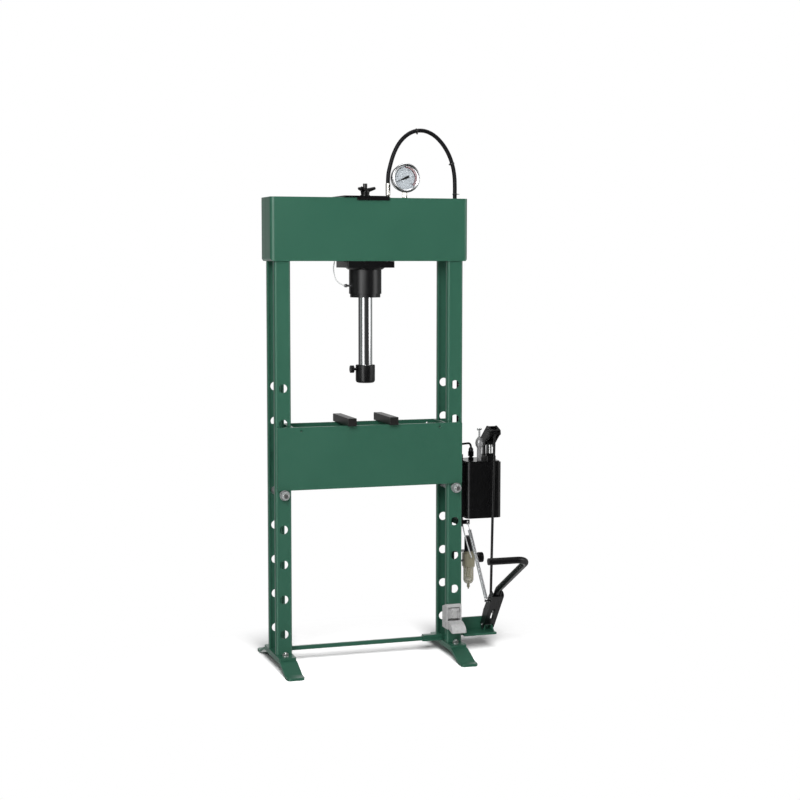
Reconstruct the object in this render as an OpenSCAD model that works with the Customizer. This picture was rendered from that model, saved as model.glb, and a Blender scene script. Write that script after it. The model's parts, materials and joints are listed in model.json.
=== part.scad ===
// Workshop press: welded H frame with an adjustable bed, a sliding hydraulic
// cylinder and a foot-operated air-hydraulic pump on its right-hand column.
// Millimetres. +X right, -Y towards the operator, +Z up, floor at z = 0.
// Every module is drawn about the ram's axis; at_press() shifts it so that the
// origin is the bottom centre of the whole machine's box.

/* [Frame] */
// Height of the top of the beam above the floor
press_h = 1720; // [1600:10:1850]
// Clear width between the two columns
column_gap = 600; // [540:10:700]
// Width of a column, seen from the front
column_w = 60; // [56:1:80]
// Room between the cylinder and the beam's plates, front and back
cylinder_play = 8; // [4:0.5:16]
// Thickness of the folded column sheet
column_t = 6; // [4:0.5:8]
// Depth of a column's folded flanges
column_flange = 24; // [18:1:32]
// Height of the lowest row of pin holes
hole_z = 128; // [120:1:140]
// Distance from one row of pin holes to the next
hole_pitch = 129; // [120:1:132]
// Number of rows of pin holes
hole_rows = 8; // [8:1:9]
// Diameter of the pin holes
hole_d = 32; // [26:0.5:36]
// Height of the beam
beam_h = 230; // [180:5:260]
// Thickness of the beam's side plates
beam_t = 10; // [6:0.5:12]
// How far the beam runs past the columns' outer faces
beam_overhang = 15; // [8:1:30]

/* [Bed] */
// Height of the bed's plates
bed_h = 230; // [180:5:250]
// Thickness of the bed's plates
bed_t = 10; // [8:0.5:12]
// Row of holes that the bed's pins are in, counted from the floor
bed_row = 5; // [4:1:6]
// Free play between the bed's plates and the columns
bed_play = 0.8; // [0.4:0.1:2]
// Width and height of the two loose press bars
bar_size = [32, 29]; // [20:1:40]
// Length of the press bars
bar_l = 210; // [180:5:260]
// Distance of each press bar from the middle
bar_x = 80; // [70:1:200]

/* [Feet] */
// Length of a foot, front tip to back tip
foot_l = 490; // [440:10:600]
// Width of a foot
foot_w = 64; // [60:1:80]
// Thickness of the foot bar
foot_t = 10; // [8:0.5:14]
// Height of the foot's flat middle, under its lower face
foot_rise = 32; // [26:1:50]
// Thickness of the base plates on the feet
base_t = 10; // [8:1:14]

/* [Ram] */
// Outer diameter of the cylinder
cylinder_d = 120; // [100:1:130]
// Bore of the cylinder
bore_d = 92; // [70:1:96]
// Diameter of the chromed rod
rod_d = 52; // [40:1:60]
// Length of rod that shows under the gland
rod_out = 249; // [100:1:260]
// Diameter and height of the ram's pressing head
head_size = [72, 67]; // [60:1:90]
// Radial running clearance of turning and sliding fits
run_clear = 0.05; // [0.02:0.01:0.1]
// Diameter of the pressure gauge's bezel
gauge_d = 108; // [80:1:120]

/* [Pump] */
// Width, depth and height of the oil tank
tank_size = [141, 140, 208]; // [120:1:240]
// Height of the tank's underside
tank_z = 521; // [480:1:560]
// Distance from the column to the middle plane of the pump's lever, rod and pedal
lever_out = 116; // [110:1:122]
// Diameter of the pump's piston
plunger_d = 14; // [10:1:18]
// Length of the foot bar
foot_bar_l = 154; // [100:1:180]

/* [Hidden] */
$fn = 64;

// Colours
GREEN = [0.23, 0.39, 0.32];
BLACK = [0.10, 0.10, 0.11];
STEEL = [0.72, 0.73, 0.75];
CHROME = [0.85, 0.86, 0.88];
ZINC = [0.78, 0.79, 0.78];
CAST = [0.66, 0.66, 0.67];
BRASS = [0.62, 0.55, 0.34];
AMBER = [0.60, 0.52, 0.32];
GREY = [0.45, 0.46, 0.47];
WHITE = [0.94, 0.94, 0.93];
OXIDE = [0.16, 0.15, 0.15];

// Small gap between pieces of different bodies that lie on each other
gap = 0.3;

// Frame
column_d = cylinder_d + 2 * cylinder_play;
column_x = column_gap / 2 + column_w / 2;
column_out = column_gap / 2 + column_w;
column_y = column_d / 2;
foot_top = foot_rise + foot_t;
base_top = foot_top + base_t;
beam_y = column_y + beam_t;
beam_w = 2 * (column_out + beam_overhang);
beam_z = press_h - beam_h;
column_top = press_h - 22;
sheet_r = column_t + 3;

// Bed
pin_d = hole_d - 2 * gap;
pin_z = hole_z + (bed_row - 1) * hole_pitch;
bed_z = pin_z + pin_d / 2 + gap;
bed_y = column_y + bed_play + bed_t;
bed_w = 2 * (column_out - 5);
bed_top = bed_z + bed_h;

// Feet
foot_y = foot_l / 2;
foot_tip = 40;
foot_bend = 60;
foot_flat = foot_y - foot_tip - 80;
base_l = 2 * (foot_flat - 7);
bolt_y = base_l / 2 - 32;
bolt_d = 12;

// Cylinder and ram, downwards from the beam
plate_t = 24;
plate_z = beam_z - gap - plate_t;
barrel_z = plate_z - 96;
gland_h = 13;
gland_z = barrel_z - gland_h;
barrel_top = press_h - 30;
barrel_floor = barrel_z + 16;
head_top = gland_z - rod_out;
head_z = head_top - head_size[1];
rod_end = head_z + 30;
piston_h = 40;
piston_z = barrel_floor + 10.5;
cap_z = press_h + gap;
cap_t = 6;
lip_w = 122;
lip_x = 7;
boss_top = cap_z + cap_t + 5.4;
manifold_top = press_h - 4;
bore_top = barrel_top - 18;
stud_end = cap_z + cap_t + 47;
bleed_z = [barrel_z + 30, beam_z + 76];
hose_x = 88;
gauge_at = [148, -15, press_h + 75];
stud_d = 16;

// Tank and pump
tank_x = column_out + 18;
tank_top = tank_z + tank_size[2];
tank_mid = tank_x + tank_size[0] / 2;
lid_t = 8;
lid_top = tank_top + lid_t;
pump_barrel_d = 24;
lever_x = column_out + lever_out;
outlet_at = [column_out + 59, 0];
release_at = [column_out + 77, -42];

// Lever linkage, as [y, z] in the plane x = lever_x
fulcrum = [-10, lid_top + 66];
head_tilt = 37.8;
rod_pin = fulcrum + [-89, 43];
roller_at = fulcrum + [-44, 5];
roller_r = 8.5;
pedal_pin = [-34, base_top + 52];
pedal_tilt = 53.3;
rod_foot = pedal_pin + [-34, 64];
axle_d = 12;
cheek_in = 15;
cheek_t = 5;
lug_in = 5;
lug_t = 6;
pedal_out = 23;
pedal_t = 5;
window_w = 12;
ear_in = 12;
ear_t = pedal_out - pedal_t - ear_in - gap;
foot_corner = pedal_pin + [-407, 324];
foot_tube_d = 25;

// Air service unit and foot valve
filter_at = [column_out + 62, 30];
filter_z = 321;
valve_z = 115;
valve_size = [59, 50, 95];
valve_x = column_x - 19;
valve_y = -column_y;
valve_rim = 5;
treadle_w = 55;
treadle_root = [-26, 13];
treadle_out = 58;
treadle_drop = 36;
treadle_pin = [valve_y - 26, valve_z + 20];

// Return spring, from its eye on the tank's bracket to the pedal
spring_top = [column_out + 46, -2, tank_z - 22];
spring_foot = [lever_x - pedal_out - 4.5, pedal_pin[0] - 64, pedal_pin[1] + 106];
spring_d = 13;
spring_ribs = 60;
spring_wire = 2.4;
hook_r = 6;

// Whole machine's box, whose bottom centre is the origin
box_x = [-beam_w / 2, tank_x + tank_size[0]];
box_y = [foot_corner[0] - foot_tube_d / 2, foot_y];
press_at = [-(box_x[0] + box_x[1]) / 2, -(box_y[0] + box_y[1]) / 2, 0];

// Routes of hoses and pipes
hose_span = column_x + 20 - hose_x;
hose_arch = [
    [0, 56], [0, 61], [0, 66], [2, 92], [10, 126], [22, 163], [40, 198], [63, 225], [92, 244],
    [124, 251], [156, 246], [188, 228], [217, 198], [239, 162], [253, 124], [260, 86],
    [262, 50], [262, 10], [262, -40]
];
hose_route = [for (p = hose_arch) [hose_x + p[0] * hose_span / 262, 0, press_h + p[1]]];
hose_end = hose_route[len(hose_route) - 1];
pipe_corner = [column_out - 9, -column_y + column_flange + 8];
pipe_route = [
    hose_end - [0, 0, 60], hose_end - [0, 0, 110],
    [pipe_corner[0], pipe_corner[1], hose_end[2] - 160],
    [pipe_corner[0], pipe_corner[1], lid_top + 64],
    [outlet_at[0], outlet_at[1], lid_top + 64], [outlet_at[0], outlet_at[1], lid_top + 47]
];
air_hose_route = [
    [filter_at[0] - 22, filter_at[1], filter_z + 24],
    [column_x + 12, 18, filter_z + 12], [column_x + 6, -6, filter_z - 60],
    [column_x + 2, -22, hole_z + 56], [column_x, -34, hole_z],
    [column_x, -column_y - 0.1, hole_z]
];
air_tube_route = [
    [filter_at[0], filter_at[1] - 24, filter_z + 40], [filter_at[0], 2, filter_z + 40],
    [filter_at[0], -3, filter_z + 41], [filter_at[0] - 10, -6, filter_z + 66],
    [column_out + 42, 4, filter_z + 110], [column_out + 34, 18, tank_z - 41],
    [column_out + 34, 20, tank_z - 12]
];
bleed_route = [
    [-79, 0, bleed_z[0]], [-97, 0, barrel_z + 38], [-112, 0, barrel_z + 53],
    [-121, 0, barrel_z + 88], [-117, 0, beam_z], [-104, 0, beam_z + 45],
    [-86, 0, beam_z + 72], [-79, 0, bleed_z[1]]
];

// Helpers
function unit(v) = v / norm(v);
// Points of an arc of radius r that rounds the corner b between a and c
function corner(a, b, c, r, k) =
    let (u = unit(a - b), v = unit(c - b), open = acos(u * v), turn = 180 - open,
         mid = b + unit(u + v) * r / sin(open / 2),
         p = b + u * r / tan(open / 2) - mid, q = b + v * r / tan(open / 2) - mid)
    [for (i = [0:k]) mid + (sin(turn * (1 - i / k)) * p + sin(turn * i / k) * q) / sin(turn)];
// A route with round bends, and a closed outline with round corners
function bent(p, r, k) = [p[0], for (i = [1:len(p) - 2]) each corner(p[i - 1], p[i], p[i + 1], r, k),
    p[len(p) - 1]];
function rounded_outline(p, r, k = 5) = [for (i = [0:len(p) - 1])
    each corner(p[(i + len(p) - 1) % len(p)], p[i], p[(i + 1) % len(p)], r, k)];
// A smooth curve through the points p, with k steps to a span
function spline(p, k) = let (n = len(p) - 1) [for (i = [0:n - 1], j = [0:k - 1])
    let (a = p[max(i - 1, 0)], b = p[i], c = p[i + 1], d = p[min(i + 2, n)], t = j / k)
    b + (c - a) * t / 2 + (2 * a - 5 * b + 4 * c - d) * t * t / 2
        + (3 * b - a - 3 * c + d) * t * t * t / 2, p[n]];

// Round bar of radius r along the points p; no stretch may run along side
module swept(p, r, sides, side) {
    n = len(p) - 1;
    ring = [for (i = [0:n]) let (t = unit(p[min(i + 1, n)] - p[max(i - 1, 0)]),
        s = unit(cross(side, t)), u = cross(t, s)) for (j = [0:sides - 1])
        p[i] + r * (cos(360 * j / sides) * s + sin(360 * j / sides) * u)];
    walls = [for (i = [0:n - 1], j = [0:sides - 1]) let (k = (j + 1) % sides)
        [i * sides + j, (i + 1) * sides + j, (i + 1) * sides + k, i * sides + k]];
    polyhedron(ring, concat(walls, [[for (j = [0:sides - 1]) j]],
        [[for (j = [sides - 1:-1:0]) n * sides + j]]));
}
module at_press() translate(press_at) children();
module along_x(w) rotate([90, 0, 90]) linear_extrude(w, center = true) children();
module along_y(w) rotate([90, 0, 0]) linear_extrude(w, center = true) children();
module rod_x(d, w) rotate([0, 90, 0]) cylinder(d = d, h = w, center = true);
module hex(af, h) cylinder(d = af / cos(30), h = h, $fn = 6);
module rounded(w, h, r) {
    square([w - 2 * r, h], center = true);
    square([w, h - 2 * r], center = true);
    for (x = [-1, 1], y = [-1, 1]) translate([x * (w / 2 - r), y * (h / 2 - r)]) circle(r);
}
// Folded sheet: web along X at y = 0, flanges up to y = d
module folded(w, d, t, r) intersection() {
    translate([0, d]) difference() {
        rounded(w, 2 * d, r);
        rounded(w - 2 * t, 2 * (d - t), r - t);
    }
    translate([-w, 0]) square([2 * w, d]);
}
// Two discs of radius ra and rb with their tangents
module strap(a, ra, b, rb) {
    turn = atan2(b[1] - a[1], b[0] - a[0]);
    open = acos((ra - rb) / norm(b - a));
    function rim(r, t) = r * [cos(t), sin(t)];
    polygon([a + rim(ra, turn + open), a + rim(ra, turn - open),
        b + rim(rb, turn - open), b + rim(rb, turn + open)]);
    translate(a) circle(ra);
    translate(b) circle(rb);
}
// Sets [forward, up] outlines into the [y, z] plane, leaning back from a pivot
module leaning(pivot, tilt) translate(pivot) rotate(180 - tilt) mirror([0, 1]) children();

// Frame
module column(side, face) {
    rows = [for (n = [0:hole_rows - 1]) hole_z + n * hole_pitch];
    translate([side * column_x, 0, 0]) mirror([0, face, 0]) difference() {
        translate([0, -column_y, base_top]) linear_extrude(column_top - base_top)
            folded(column_w, column_flange, column_t, sheet_r);
        for (z = rows) translate([0, -column_y - 1, z]) rotate([-90, 0, 0])
            cylinder(d = hole_d, h = column_t + 2);
    }
}
module column_left_front() color(GREEN) at_press() column(-1, 0);
module column_left_back() color(GREEN) at_press() column(-1, 1);
module column_right_front() color(GREEN) at_press() column(1, 0);
module column_right_back() color(GREEN) at_press() column(1, 1);

module beam_half(face) mirror([0, face, 0]) difference() {
    translate([0, -beam_y, beam_z]) linear_extrude(beam_h) folded(beam_w, beam_y, beam_t, 16);
    for (side = [-1, 1]) translate([side * beam_w / 2, 0, beam_z]) rotate([0, 45, 0])
        cube([12, 3 * beam_y, 12], center = true);
}
module beam_front() color(GREEN) at_press() beam_half(0);
module beam_back() color(GREEN) at_press() beam_half(1);
module beam_ribs() color(GREEN) at_press() for (side = [-1, 1])
    translate([side * (column_gap / 2 - 9), 0, beam_z + 20 + (beam_h - 60) / 2])
        cube([8, column_d, beam_h - 60], center = true);

module foot(side) {
    k = foot_t * tan(atan2(foot_rise, 80) / 2) / 2;
    half = concat(bent([[0, foot_rise], [foot_flat - k, foot_rise], [foot_flat + 80 - k, 0],
        [foot_y, 0]], foot_bend, 5), bent([[foot_y, foot_t], [foot_flat + 80 + k, foot_t],
        [foot_flat + k, foot_top], [0, foot_top]], foot_bend, 5));
    translate([side * column_x, 0, 0]) difference() {
        intersection() {
            for (m = [0, 1]) mirror([0, m, 0]) along_x(foot_w) polygon(half);
            translate([0, 0, -1]) linear_extrude(foot_top + 2) rounded(foot_w, foot_l, 14);
        }
        for (y = [-bolt_y, bolt_y]) translate([0, y, 0]) cylinder(d = bolt_d + 1, h = foot_top + 1);
    }
}
module foot_left() color(GREEN) at_press() foot(-1);
module foot_right() color(GREEN) at_press() foot(1);
module base_plates() color(GREEN) at_press() for (side = [-1, 1])
    translate([side * column_x, 0, foot_top]) difference() {
        linear_extrude(base_t) rounded(foot_w, base_l, 5);
        for (y = [-bolt_y, bolt_y]) translate([0, y, -1]) cylinder(d = bolt_d + 1, h = base_t + 2);
    }
module foot_bolts() color(ZINC) at_press() for (side = [-1, 1], y = [-bolt_y, bolt_y])
    translate([side * column_x, y, 0]) {
        translate([0, 0, foot_rise - 14]) cylinder(d = bolt_d, h = base_top - foot_rise + 14);
        translate([0, 0, base_top]) cylinder(d = 2 * bolt_d, h = 2.5);
        translate([0, 0, base_top + 2.5]) hex(19, 8);
        translate([0, 0, foot_rise - 10]) hex(19, 10);
    }
module tie_bar() color(GREEN) at_press() {
    translate([0, 0, base_top + 7.5]) cube([2 * column_x, 12, 15], center = true);
    translate([column_gap / 2 - 36, 0, base_top + 10.5]) cube([72, 26, 21], center = true);
    translate([column_gap / 2 - 40, 0, base_top + 3]) cube([80, 40, 6], center = true);
}

// Pedal bracket: end plate on the column, angle iron, gusset and two ears
module pedal_bracket() color(GREEN) at_press() {
    z0 = base_top + 24;
    ear_foot = [pedal_pin[0], z0 + 8];
    far = lever_x + ear_in + ear_t;
    translate([column_out, -column_y + 4, z0]) cube([8, column_d - 8, 66]);
    difference() {
        union() {
            translate([column_out + 4, -14, z0]) cube([far - column_out - 4, 8, 56]);
            translate([column_out + 4, -88, z0]) cube([far - column_out - 4, 78, 8]);
            translate([far - ear_t / 2, 0, 0]) along_x(ear_t) polygon([[-10, z0], [-88, z0],
                [-88, z0 + 8], [-62, z0 + 8], [-14, z0 + 56], [-10, z0 + 56]]);
            for (side = [-1, 1]) translate([lever_x + side * (ear_in + ear_t / 2), 0, 0])
                along_x(ear_t) strap(pedal_pin, 12, ear_foot - [0, 4], 12);
        }
        translate([lever_x, pedal_pin[0], pedal_pin[1]]) rod_x(axle_d, 80);
    }
}
module pivot_pins() color(STEEL) at_press() {
    translate([lever_x, pedal_pin[0], pedal_pin[1]]) rod_x(axle_d, 2 * pedal_out + 6);
    translate([lever_x, fulcrum[0], fulcrum[1]]) rod_x(axle_d, 46);
}

// Tank, its bracket and the pump
module tank_bracket() color(BLACK) at_press() difference() {
    union() {
        translate([column_out, -58, tank_z - 29]) cube([6, 116, tank_size[2] + 66]);
        for (y = [-46, 34]) translate([column_out, y, tank_z + 9])
            cube([tank_x - column_out, 12, tank_size[2] - 18]);
        translate([column_out, spring_top[1] - 2, spring_top[2] - 8])
            cube([spring_top[0] - column_out + 8, 4, 16]);
    }
    translate(spring_top) rotate([90, 0, 0]) cylinder(d = 7, h = 20, center = true);
}
module tank() color(BLACK) at_press() translate([tank_mid, 0, tank_z]) difference() {
    linear_extrude(tank_size[2]) rounded(tank_size[0], tank_size[1], 18);
    translate([0, 0, 4]) linear_extrude(tank_size[2])
        rounded(tank_size[0] - 6, tank_size[1] - 6, 15);
}
module tank_lid() color(BLACK) at_press() difference() {
    union() {
        translate([tank_mid, 0, tank_top]) linear_extrude(lid_t / 2)
            rounded(tank_size[0], tank_size[1], 18);
        translate([tank_mid, 0, tank_top]) linear_extrude(lid_t)
            rounded(tank_size[0] - 10, tank_size[1] - 10, 14);
    }
    translate([lever_x, roller_at[0], tank_top - 1]) cylinder(d = pump_barrel_d, h = lid_t + 2);
}
module pump_block() color(BLACK) at_press() difference() {
    union() {
        translate([lever_x, -30, lid_top]) linear_extrude(20) rounded(38, 78, 5);
        translate([lever_x, roller_at[0], tank_top - 60]) cylinder(d = pump_barrel_d, h = 70);
        translate([lever_x, roller_at[0], lid_top + 20]) hex(24, 9);
        for (side = [-1, 1]) translate([lever_x + side * (lug_in + lug_t / 2), 0, 0])
            along_x(lug_t) strap(fulcrum, 10, [fulcrum[0], lid_top + 14], 12);
        for (side = [-1, 1]) translate([lever_x, 0, 0]) mirror([side - 1, 0, 0])
            translate([lug_in, fulcrum[0], fulcrum[1]]) rotate([0, 90, 0])
                cylinder(d = 20, h = cheek_in - gap - lug_in);
    }
    translate([lever_x, roller_at[0], tank_top - 52])
        cylinder(r = plunger_d / 2 + run_clear, h = 100);
    translate([lever_x, fulcrum[0], fulcrum[1]]) rod_x(axle_d, 60);
}
module outlet_fitting() color(BLACK) at_press() translate([outlet_at[0], outlet_at[1], lid_top]) {
    hex(19, 9);
    translate([0, 0, 9]) cylinder(d = 14, h = 5);
    translate([0, 0, 14]) hex(20, 18);
    translate([0, 0, 32]) rotate_extrude() polygon([[0, 0], [9, 0], [9, 9], [5.5, 15], [0, 15]]);
}
module pressure_pipe() color(BLACK) at_press() swept(bent(pipe_route, 16, 6), 4, 12, [0.2, 1, 0.1]);
module hose_coupling() color(STEEL) at_press() translate(hose_end - [0, 0, 60]) {
    cylinder(d = 14, h = 8);
    translate([0, 0, 8]) hex(19, 14);
    translate([0, 0, 22]) hex(22, 10);
    translate([0, 0, 32]) cylinder(d = 19, h = 28);
}
module release_body() color(CAST) at_press() translate([release_at[0], release_at[1], lid_top])
    difference() {
        union() {
            hex(17, 12);
            translate([0, 0, 12]) cylinder(d = 15, h = 42);
            for (i = [0:7]) rotate(i * 45) translate([7.6, 0, 14]) cylinder(d = 4, h = 40);
            rotate_extrude() polygon([[0, 50], [9, 50], [14, 58], [15.5, 68], [13.5, 79],
                [8, 87], [5, 91], [0, 91]]);
        }
        translate([0, 0, 60]) cylinder(d = 7 + 2 * run_clear, h = 40);
    }
module release_handle() color(CHROME) at_press()
    translate([release_at[0], release_at[1], lid_top]) {
        translate([0, 0, 61]) cylinder(d = 7, h = 59);
        translate([0, 0, 120]) rotate([0, 90, 25]) rotate_extrude() polygon([[0, -10],
            [3, -10], [4, -9], [4, -6], [3, -5], [3, 5], [4, 6], [4, 9], [3, 10], [0, 10]]);
    }

// Air service unit on the back flange of the right column
module filter_bracket() color(BLACK) at_press() difference() {
    union() {
        translate([column_out, filter_at[1] - 2, filter_z - 6]) cube([4, 36, 76]);
        translate([column_out, filter_at[1] - 16, filter_z + 60])
            cube([filter_at[0] - column_out, 32, 4]);
        translate([filter_at[0], filter_at[1], filter_z + 60]) cylinder(d = 40, h = 4);
    }
    translate([filter_at[0], filter_at[1], filter_z + 50]) cylinder(d = 27, h = 30);
}
module filter_body() color(BRASS) at_press() translate([filter_at[0], filter_at[1], filter_z]) {
    linear_extrude(52) rounded(42, 42, 9);
    translate([0, 0, 52]) cylinder(d = 36, h = 8);
    translate([0, 0, 60]) cylinder(d = 27, h = 12);
    translate([0, 0, -44]) cylinder(d = 17, h = 44);
    translate([0, -24, 40]) rotate([-90, 0, 0]) cylinder(d = 10, h = 10);
}
module filter_bowl() color(AMBER) at_press() translate([filter_at[0], filter_at[1], filter_z])
    difference() {
        rotate_extrude() polygon([[0, -68], [6, -68], [12, -66], [17, -61], [20, -52], [20, -6],
            [21, -6], [21, 0], [17, 0], [17, -50], [14, -58], [9, -62.5], [4, -64], [0, -64]]);
        translate([0, 0, -70]) cylinder(d = 6, h = 10);
    }
module regulator_knob() color(BLACK) at_press()
    translate([filter_at[0], filter_at[1], filter_z + 64 + gap]) difference() {
        union() {
            cylinder(d = 32, h = 48);
            translate([0, 0, 48]) rotate_extrude() polygon([[0, 0], [16, 0], [13, 6], [0, 6]]);
        }
        for (i = [0:11]) rotate(i * 30) translate([17.4, 0, 4]) cylinder(d = 5, h = 60);
        translate([0, 0, -1]) cylinder(d = 27 + 2 * run_clear, h = 10);
    }
module drain_cock() color(BLACK) at_press() translate([filter_at[0], filter_at[1], filter_z]) {
    translate([0, 0, -76]) cylinder(d = 6 - 2 * run_clear, h = 12);
    translate([0, 0, -82]) cylinder(d = 11, h = 14 - gap);
    translate([0, 0, -88]) cylinder(d = 5, h = 8);
}
module air_coupling() color(BLACK) at_press()
    translate([filter_at[0] + 21, filter_at[1], filter_z + 32]) rotate([0, 90, 0]) {
        cylinder(d = 14, h = 18);
        difference() {
            translate([0, 0, 18]) cylinder(d = 39, h = 18);
            translate([0, 0, 24]) cylinder(d = 16, h = 30);
            for (i = [0:15]) rotate(i * 22.5) translate([20, 0, 17]) cylinder(d = 3.4, h = 20);
        }
    }
module air_tube() color(WHITE) at_press() swept(spline(air_tube_route, 4), 2.5, 8, [1, 0, 0.2]);
module air_hose() color(GREY) at_press() swept(spline(air_hose_route, 5), 4, 10, [1, 0.1, 0.3]);

// Foot valve hung on the right column: a rimmed housing with a recessed front, and a
// curved treadle on a pin through the walls of the pocket below
module foot_valve_body() color(CAST) at_press() translate([valve_x, valve_y, valve_z]) {
    w = valve_size[0];
    d = valve_size[1];
    h = valve_size[2];
    pocket_w = w - 2 * valve_rim;
    difference() {
        intersection() {
            along_x(w) polygon([[0, 0], [-d, 0], [-d, h], [-d + 8, h], [0, h - 14]]);
            translate([0, -d / 2, h / 2]) along_y(d + 2) rounded(w, h, 4);
        }
        translate([0, -d, h / 2 - 3]) along_y(24) rounded(pocket_w, h - 18, 3);
        translate([0, -d / 2 - 8, 21]) cube([pocket_w, d - 14, 34], center = true);
        translate([0, treadle_pin[0] - valve_y, treadle_pin[1] - valve_z]) rod_x(8, w + 2);
        translate([column_x - valve_x, 0, hole_z - valve_z]) rotate([90, 0, 0])
            cylinder(d = 8, h = 16, center = true);
    }
    translate([4, 8 - d, 0]) along_y(9) polygon([[-9, 40], [9, 40], [8, 66], [17, 68], [17, 78],
        [-17, 78], [-17, 68], [-8, 66]]);
}
// Quarter of an ellipse from the treadle's root out to its tip, k outside its inner face
function treadle_rim(k) = [for (t = [0:10:90]) treadle_root - [0, treadle_drop]
    + [-(treadle_out - 4 + k) * sin(t), (treadle_drop - 4 + k) * cos(t)]];
module foot_valve_treadle() color(CAST) at_press()
    translate([valve_x, treadle_pin[0], treadle_pin[1]]) {
        inner = treadle_rim(0);
        arm_x = valve_size[0] / 2 - valve_rim - 3;
        along_x(treadle_w) polygon(concat(treadle_rim(4), [for (i = [9:-1:0]) inner[i]]));
        for (side = [-1, 1]) {
            translate([side * (treadle_w / 2 - 1.5), 0, 0]) along_x(3)
                polygon(concat([[-26, -12]], treadle_rim(2), [[-70, -23]]));
            translate([side * arm_x, 0, 0]) along_x(4) polygon([[5, -5], [5, 5], [-28, 11],
                [-40, 8], [-40, -10], [-28, -11]]);
        }
        rod_x(8 - 2 * run_clear, valve_size[0] + 4);
    }

// Bed
module bed_plate(face) mirror([0, face, 0]) translate([0, -bed_y + bed_t / 2, bed_z + bed_h / 2])
    difference() {
        along_y(bed_t) rounded(bed_w, bed_h, 5);
        for (x = [-1, 1]) translate([x * (column_gap / 2 - 34), 0, bed_h / 2 - 14])
            rotate([90, 0, 0]) cylinder(d = 8, h = 30, center = true);
    }
module bed_front() color(GREEN) at_press() bed_plate(0);
module bed_back() color(GREEN) at_press() bed_plate(1);
module bed_cross_plates() color(GREEN) at_press() for (side = [-1, 1], z = [bed_z, bed_top - 44])
    translate([side * (column_gap / 2 - 6), 0, z + 22])
        cube([8, 2 * (bed_y - bed_t), 44], center = true);
module press_bars() color(OXIDE) at_press() for (side = [-1, 1])
    translate([side * bar_x, 0, bed_top + bar_size[1] / 2]) along_y(bar_l)
        rounded(bar_size[0], bar_size[1], 2);
module bed_pin(side) translate([side * column_x, -bed_y - 22, pin_z]) rotate([-90, 0, 0])
    rotate_extrude() polygon([[0, 0], [pin_d / 2 - 2, 0], [pin_d / 2, 2], [pin_d / 2, 13],
        [pin_d / 2 + 3, 13], [pin_d / 2 + 3, 19], [pin_d / 2, 19],
        [pin_d / 2, 2 * bed_y + 34], [pin_d / 2 - 4, 2 * bed_y + 40], [0, 2 * bed_y + 40]]);
module bed_pin_left() color(STEEL) at_press() bed_pin(-1);
module bed_pin_right() color(STEEL) at_press() bed_pin(1);

// Carriage and cylinder
module carriage_plate() color(BLACK) at_press() difference() {
    union() {
        translate([0, 0, plate_z]) linear_extrude(plate_t) rounded(178, 2 * beam_y + 4, 4);
        translate([0, 0, plate_z - 7]) cylinder(d1 = cylinder_d + 8, d2 = cylinder_d + 26, h = 7);
    }
    translate([0, 0, plate_z - 8]) cylinder(d = cylinder_d + 0.2, h = plate_t + 9);
}
module carriage_cap() color(BLACK) at_press() difference() {
    union() {
        translate([lip_x + lip_w / 2 - 86, 0, cap_z]) linear_extrude(cap_t)
            rounded(172, 2 * beam_y + 14, 3);
        for (side = [-1, 1]) translate([lip_x, side * (beam_y + 3.8), cap_z - 4])
            cube([lip_w, 6.4, 12], center = true);
        translate([0, 0, cap_z + cap_t]) cylinder(d = 36, h = boss_top - cap_z - cap_t);
    }
    translate([0, 0, cap_z - 1]) cylinder(d = stud_d, h = 20);
}
module barrel() color(BLACK) at_press() difference() {
    rotate_extrude() difference() {
        union() {
            translate([0, barrel_z]) square([cylinder_d / 2, barrel_top - barrel_z]);
            translate([0, barrel_top - 1]) square([stud_d / 2, stud_end - barrel_top + 1]);
        }
        translate([0, barrel_z - 1]) square([bore_d / 2, bore_top - barrel_z + 1]);
    }
    for (z = bleed_z) translate([-cylinder_d / 2 - 0.1, 0, z]) rotate([0, 90, 0])
        cylinder(d = 8, h = 8.1);
}
module gland_ring() color(BLACK) at_press() difference() {
    union() {
        translate([0, 0, gland_z]) cylinder(d = cylinder_d - 8, h = gland_h);
        translate([0, 0, barrel_z]) cylinder(d = bore_d, h = barrel_floor - barrel_z);
    }
    translate([0, 0, gland_z - 1]) cylinder(r = rod_d / 2 + run_clear, h = 60);
    for (i = [0:3]) rotate(45 + i * 90) translate([cylinder_d / 2 - 15, 0, gland_z - 1])
        cylinder(d = 7, h = 7);
}
module manifold() color(BLACK) at_press() difference() {
    translate([26, -32, barrel_top]) cube([142, 48, manifold_top - barrel_top]);
    translate([hose_x, 0, barrel_top + 14]) cylinder(d = 10, h = 30);
    translate([gauge_at[0], gauge_at[1], barrel_top + 14]) cylinder(d = 10, h = 30);
}
module hose_ferrule() color(CHROME) at_press() translate([hose_x, 0, manifold_top]) {
    hex(17, 10);
    translate([0, 0, 10]) cylinder(d = 12, h = 4);
    translate([0, 0, 14]) rotate_extrude() polygon([[0, 0], [6, 0], [8, 3], [8, 40],
        [7.9, 46], [0, 46]]);
}
module hose() color(BLACK) at_press() swept(spline(hose_route, 2), 7.5, 12, [0, 1, 0]);
module bleed_tube() color(WHITE) at_press() {
    swept(spline(bleed_route, 3), 2.5, 8, [0, 1, 0]);
    for (z = bleed_z) translate([-cylinder_d / 2 - 19, 0, z])
        rotate([0, 90, 0]) {
            hex(11, 10);
            translate([0, 0, 10]) cylinder(d = 8, h = 15);
        }
}

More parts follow.
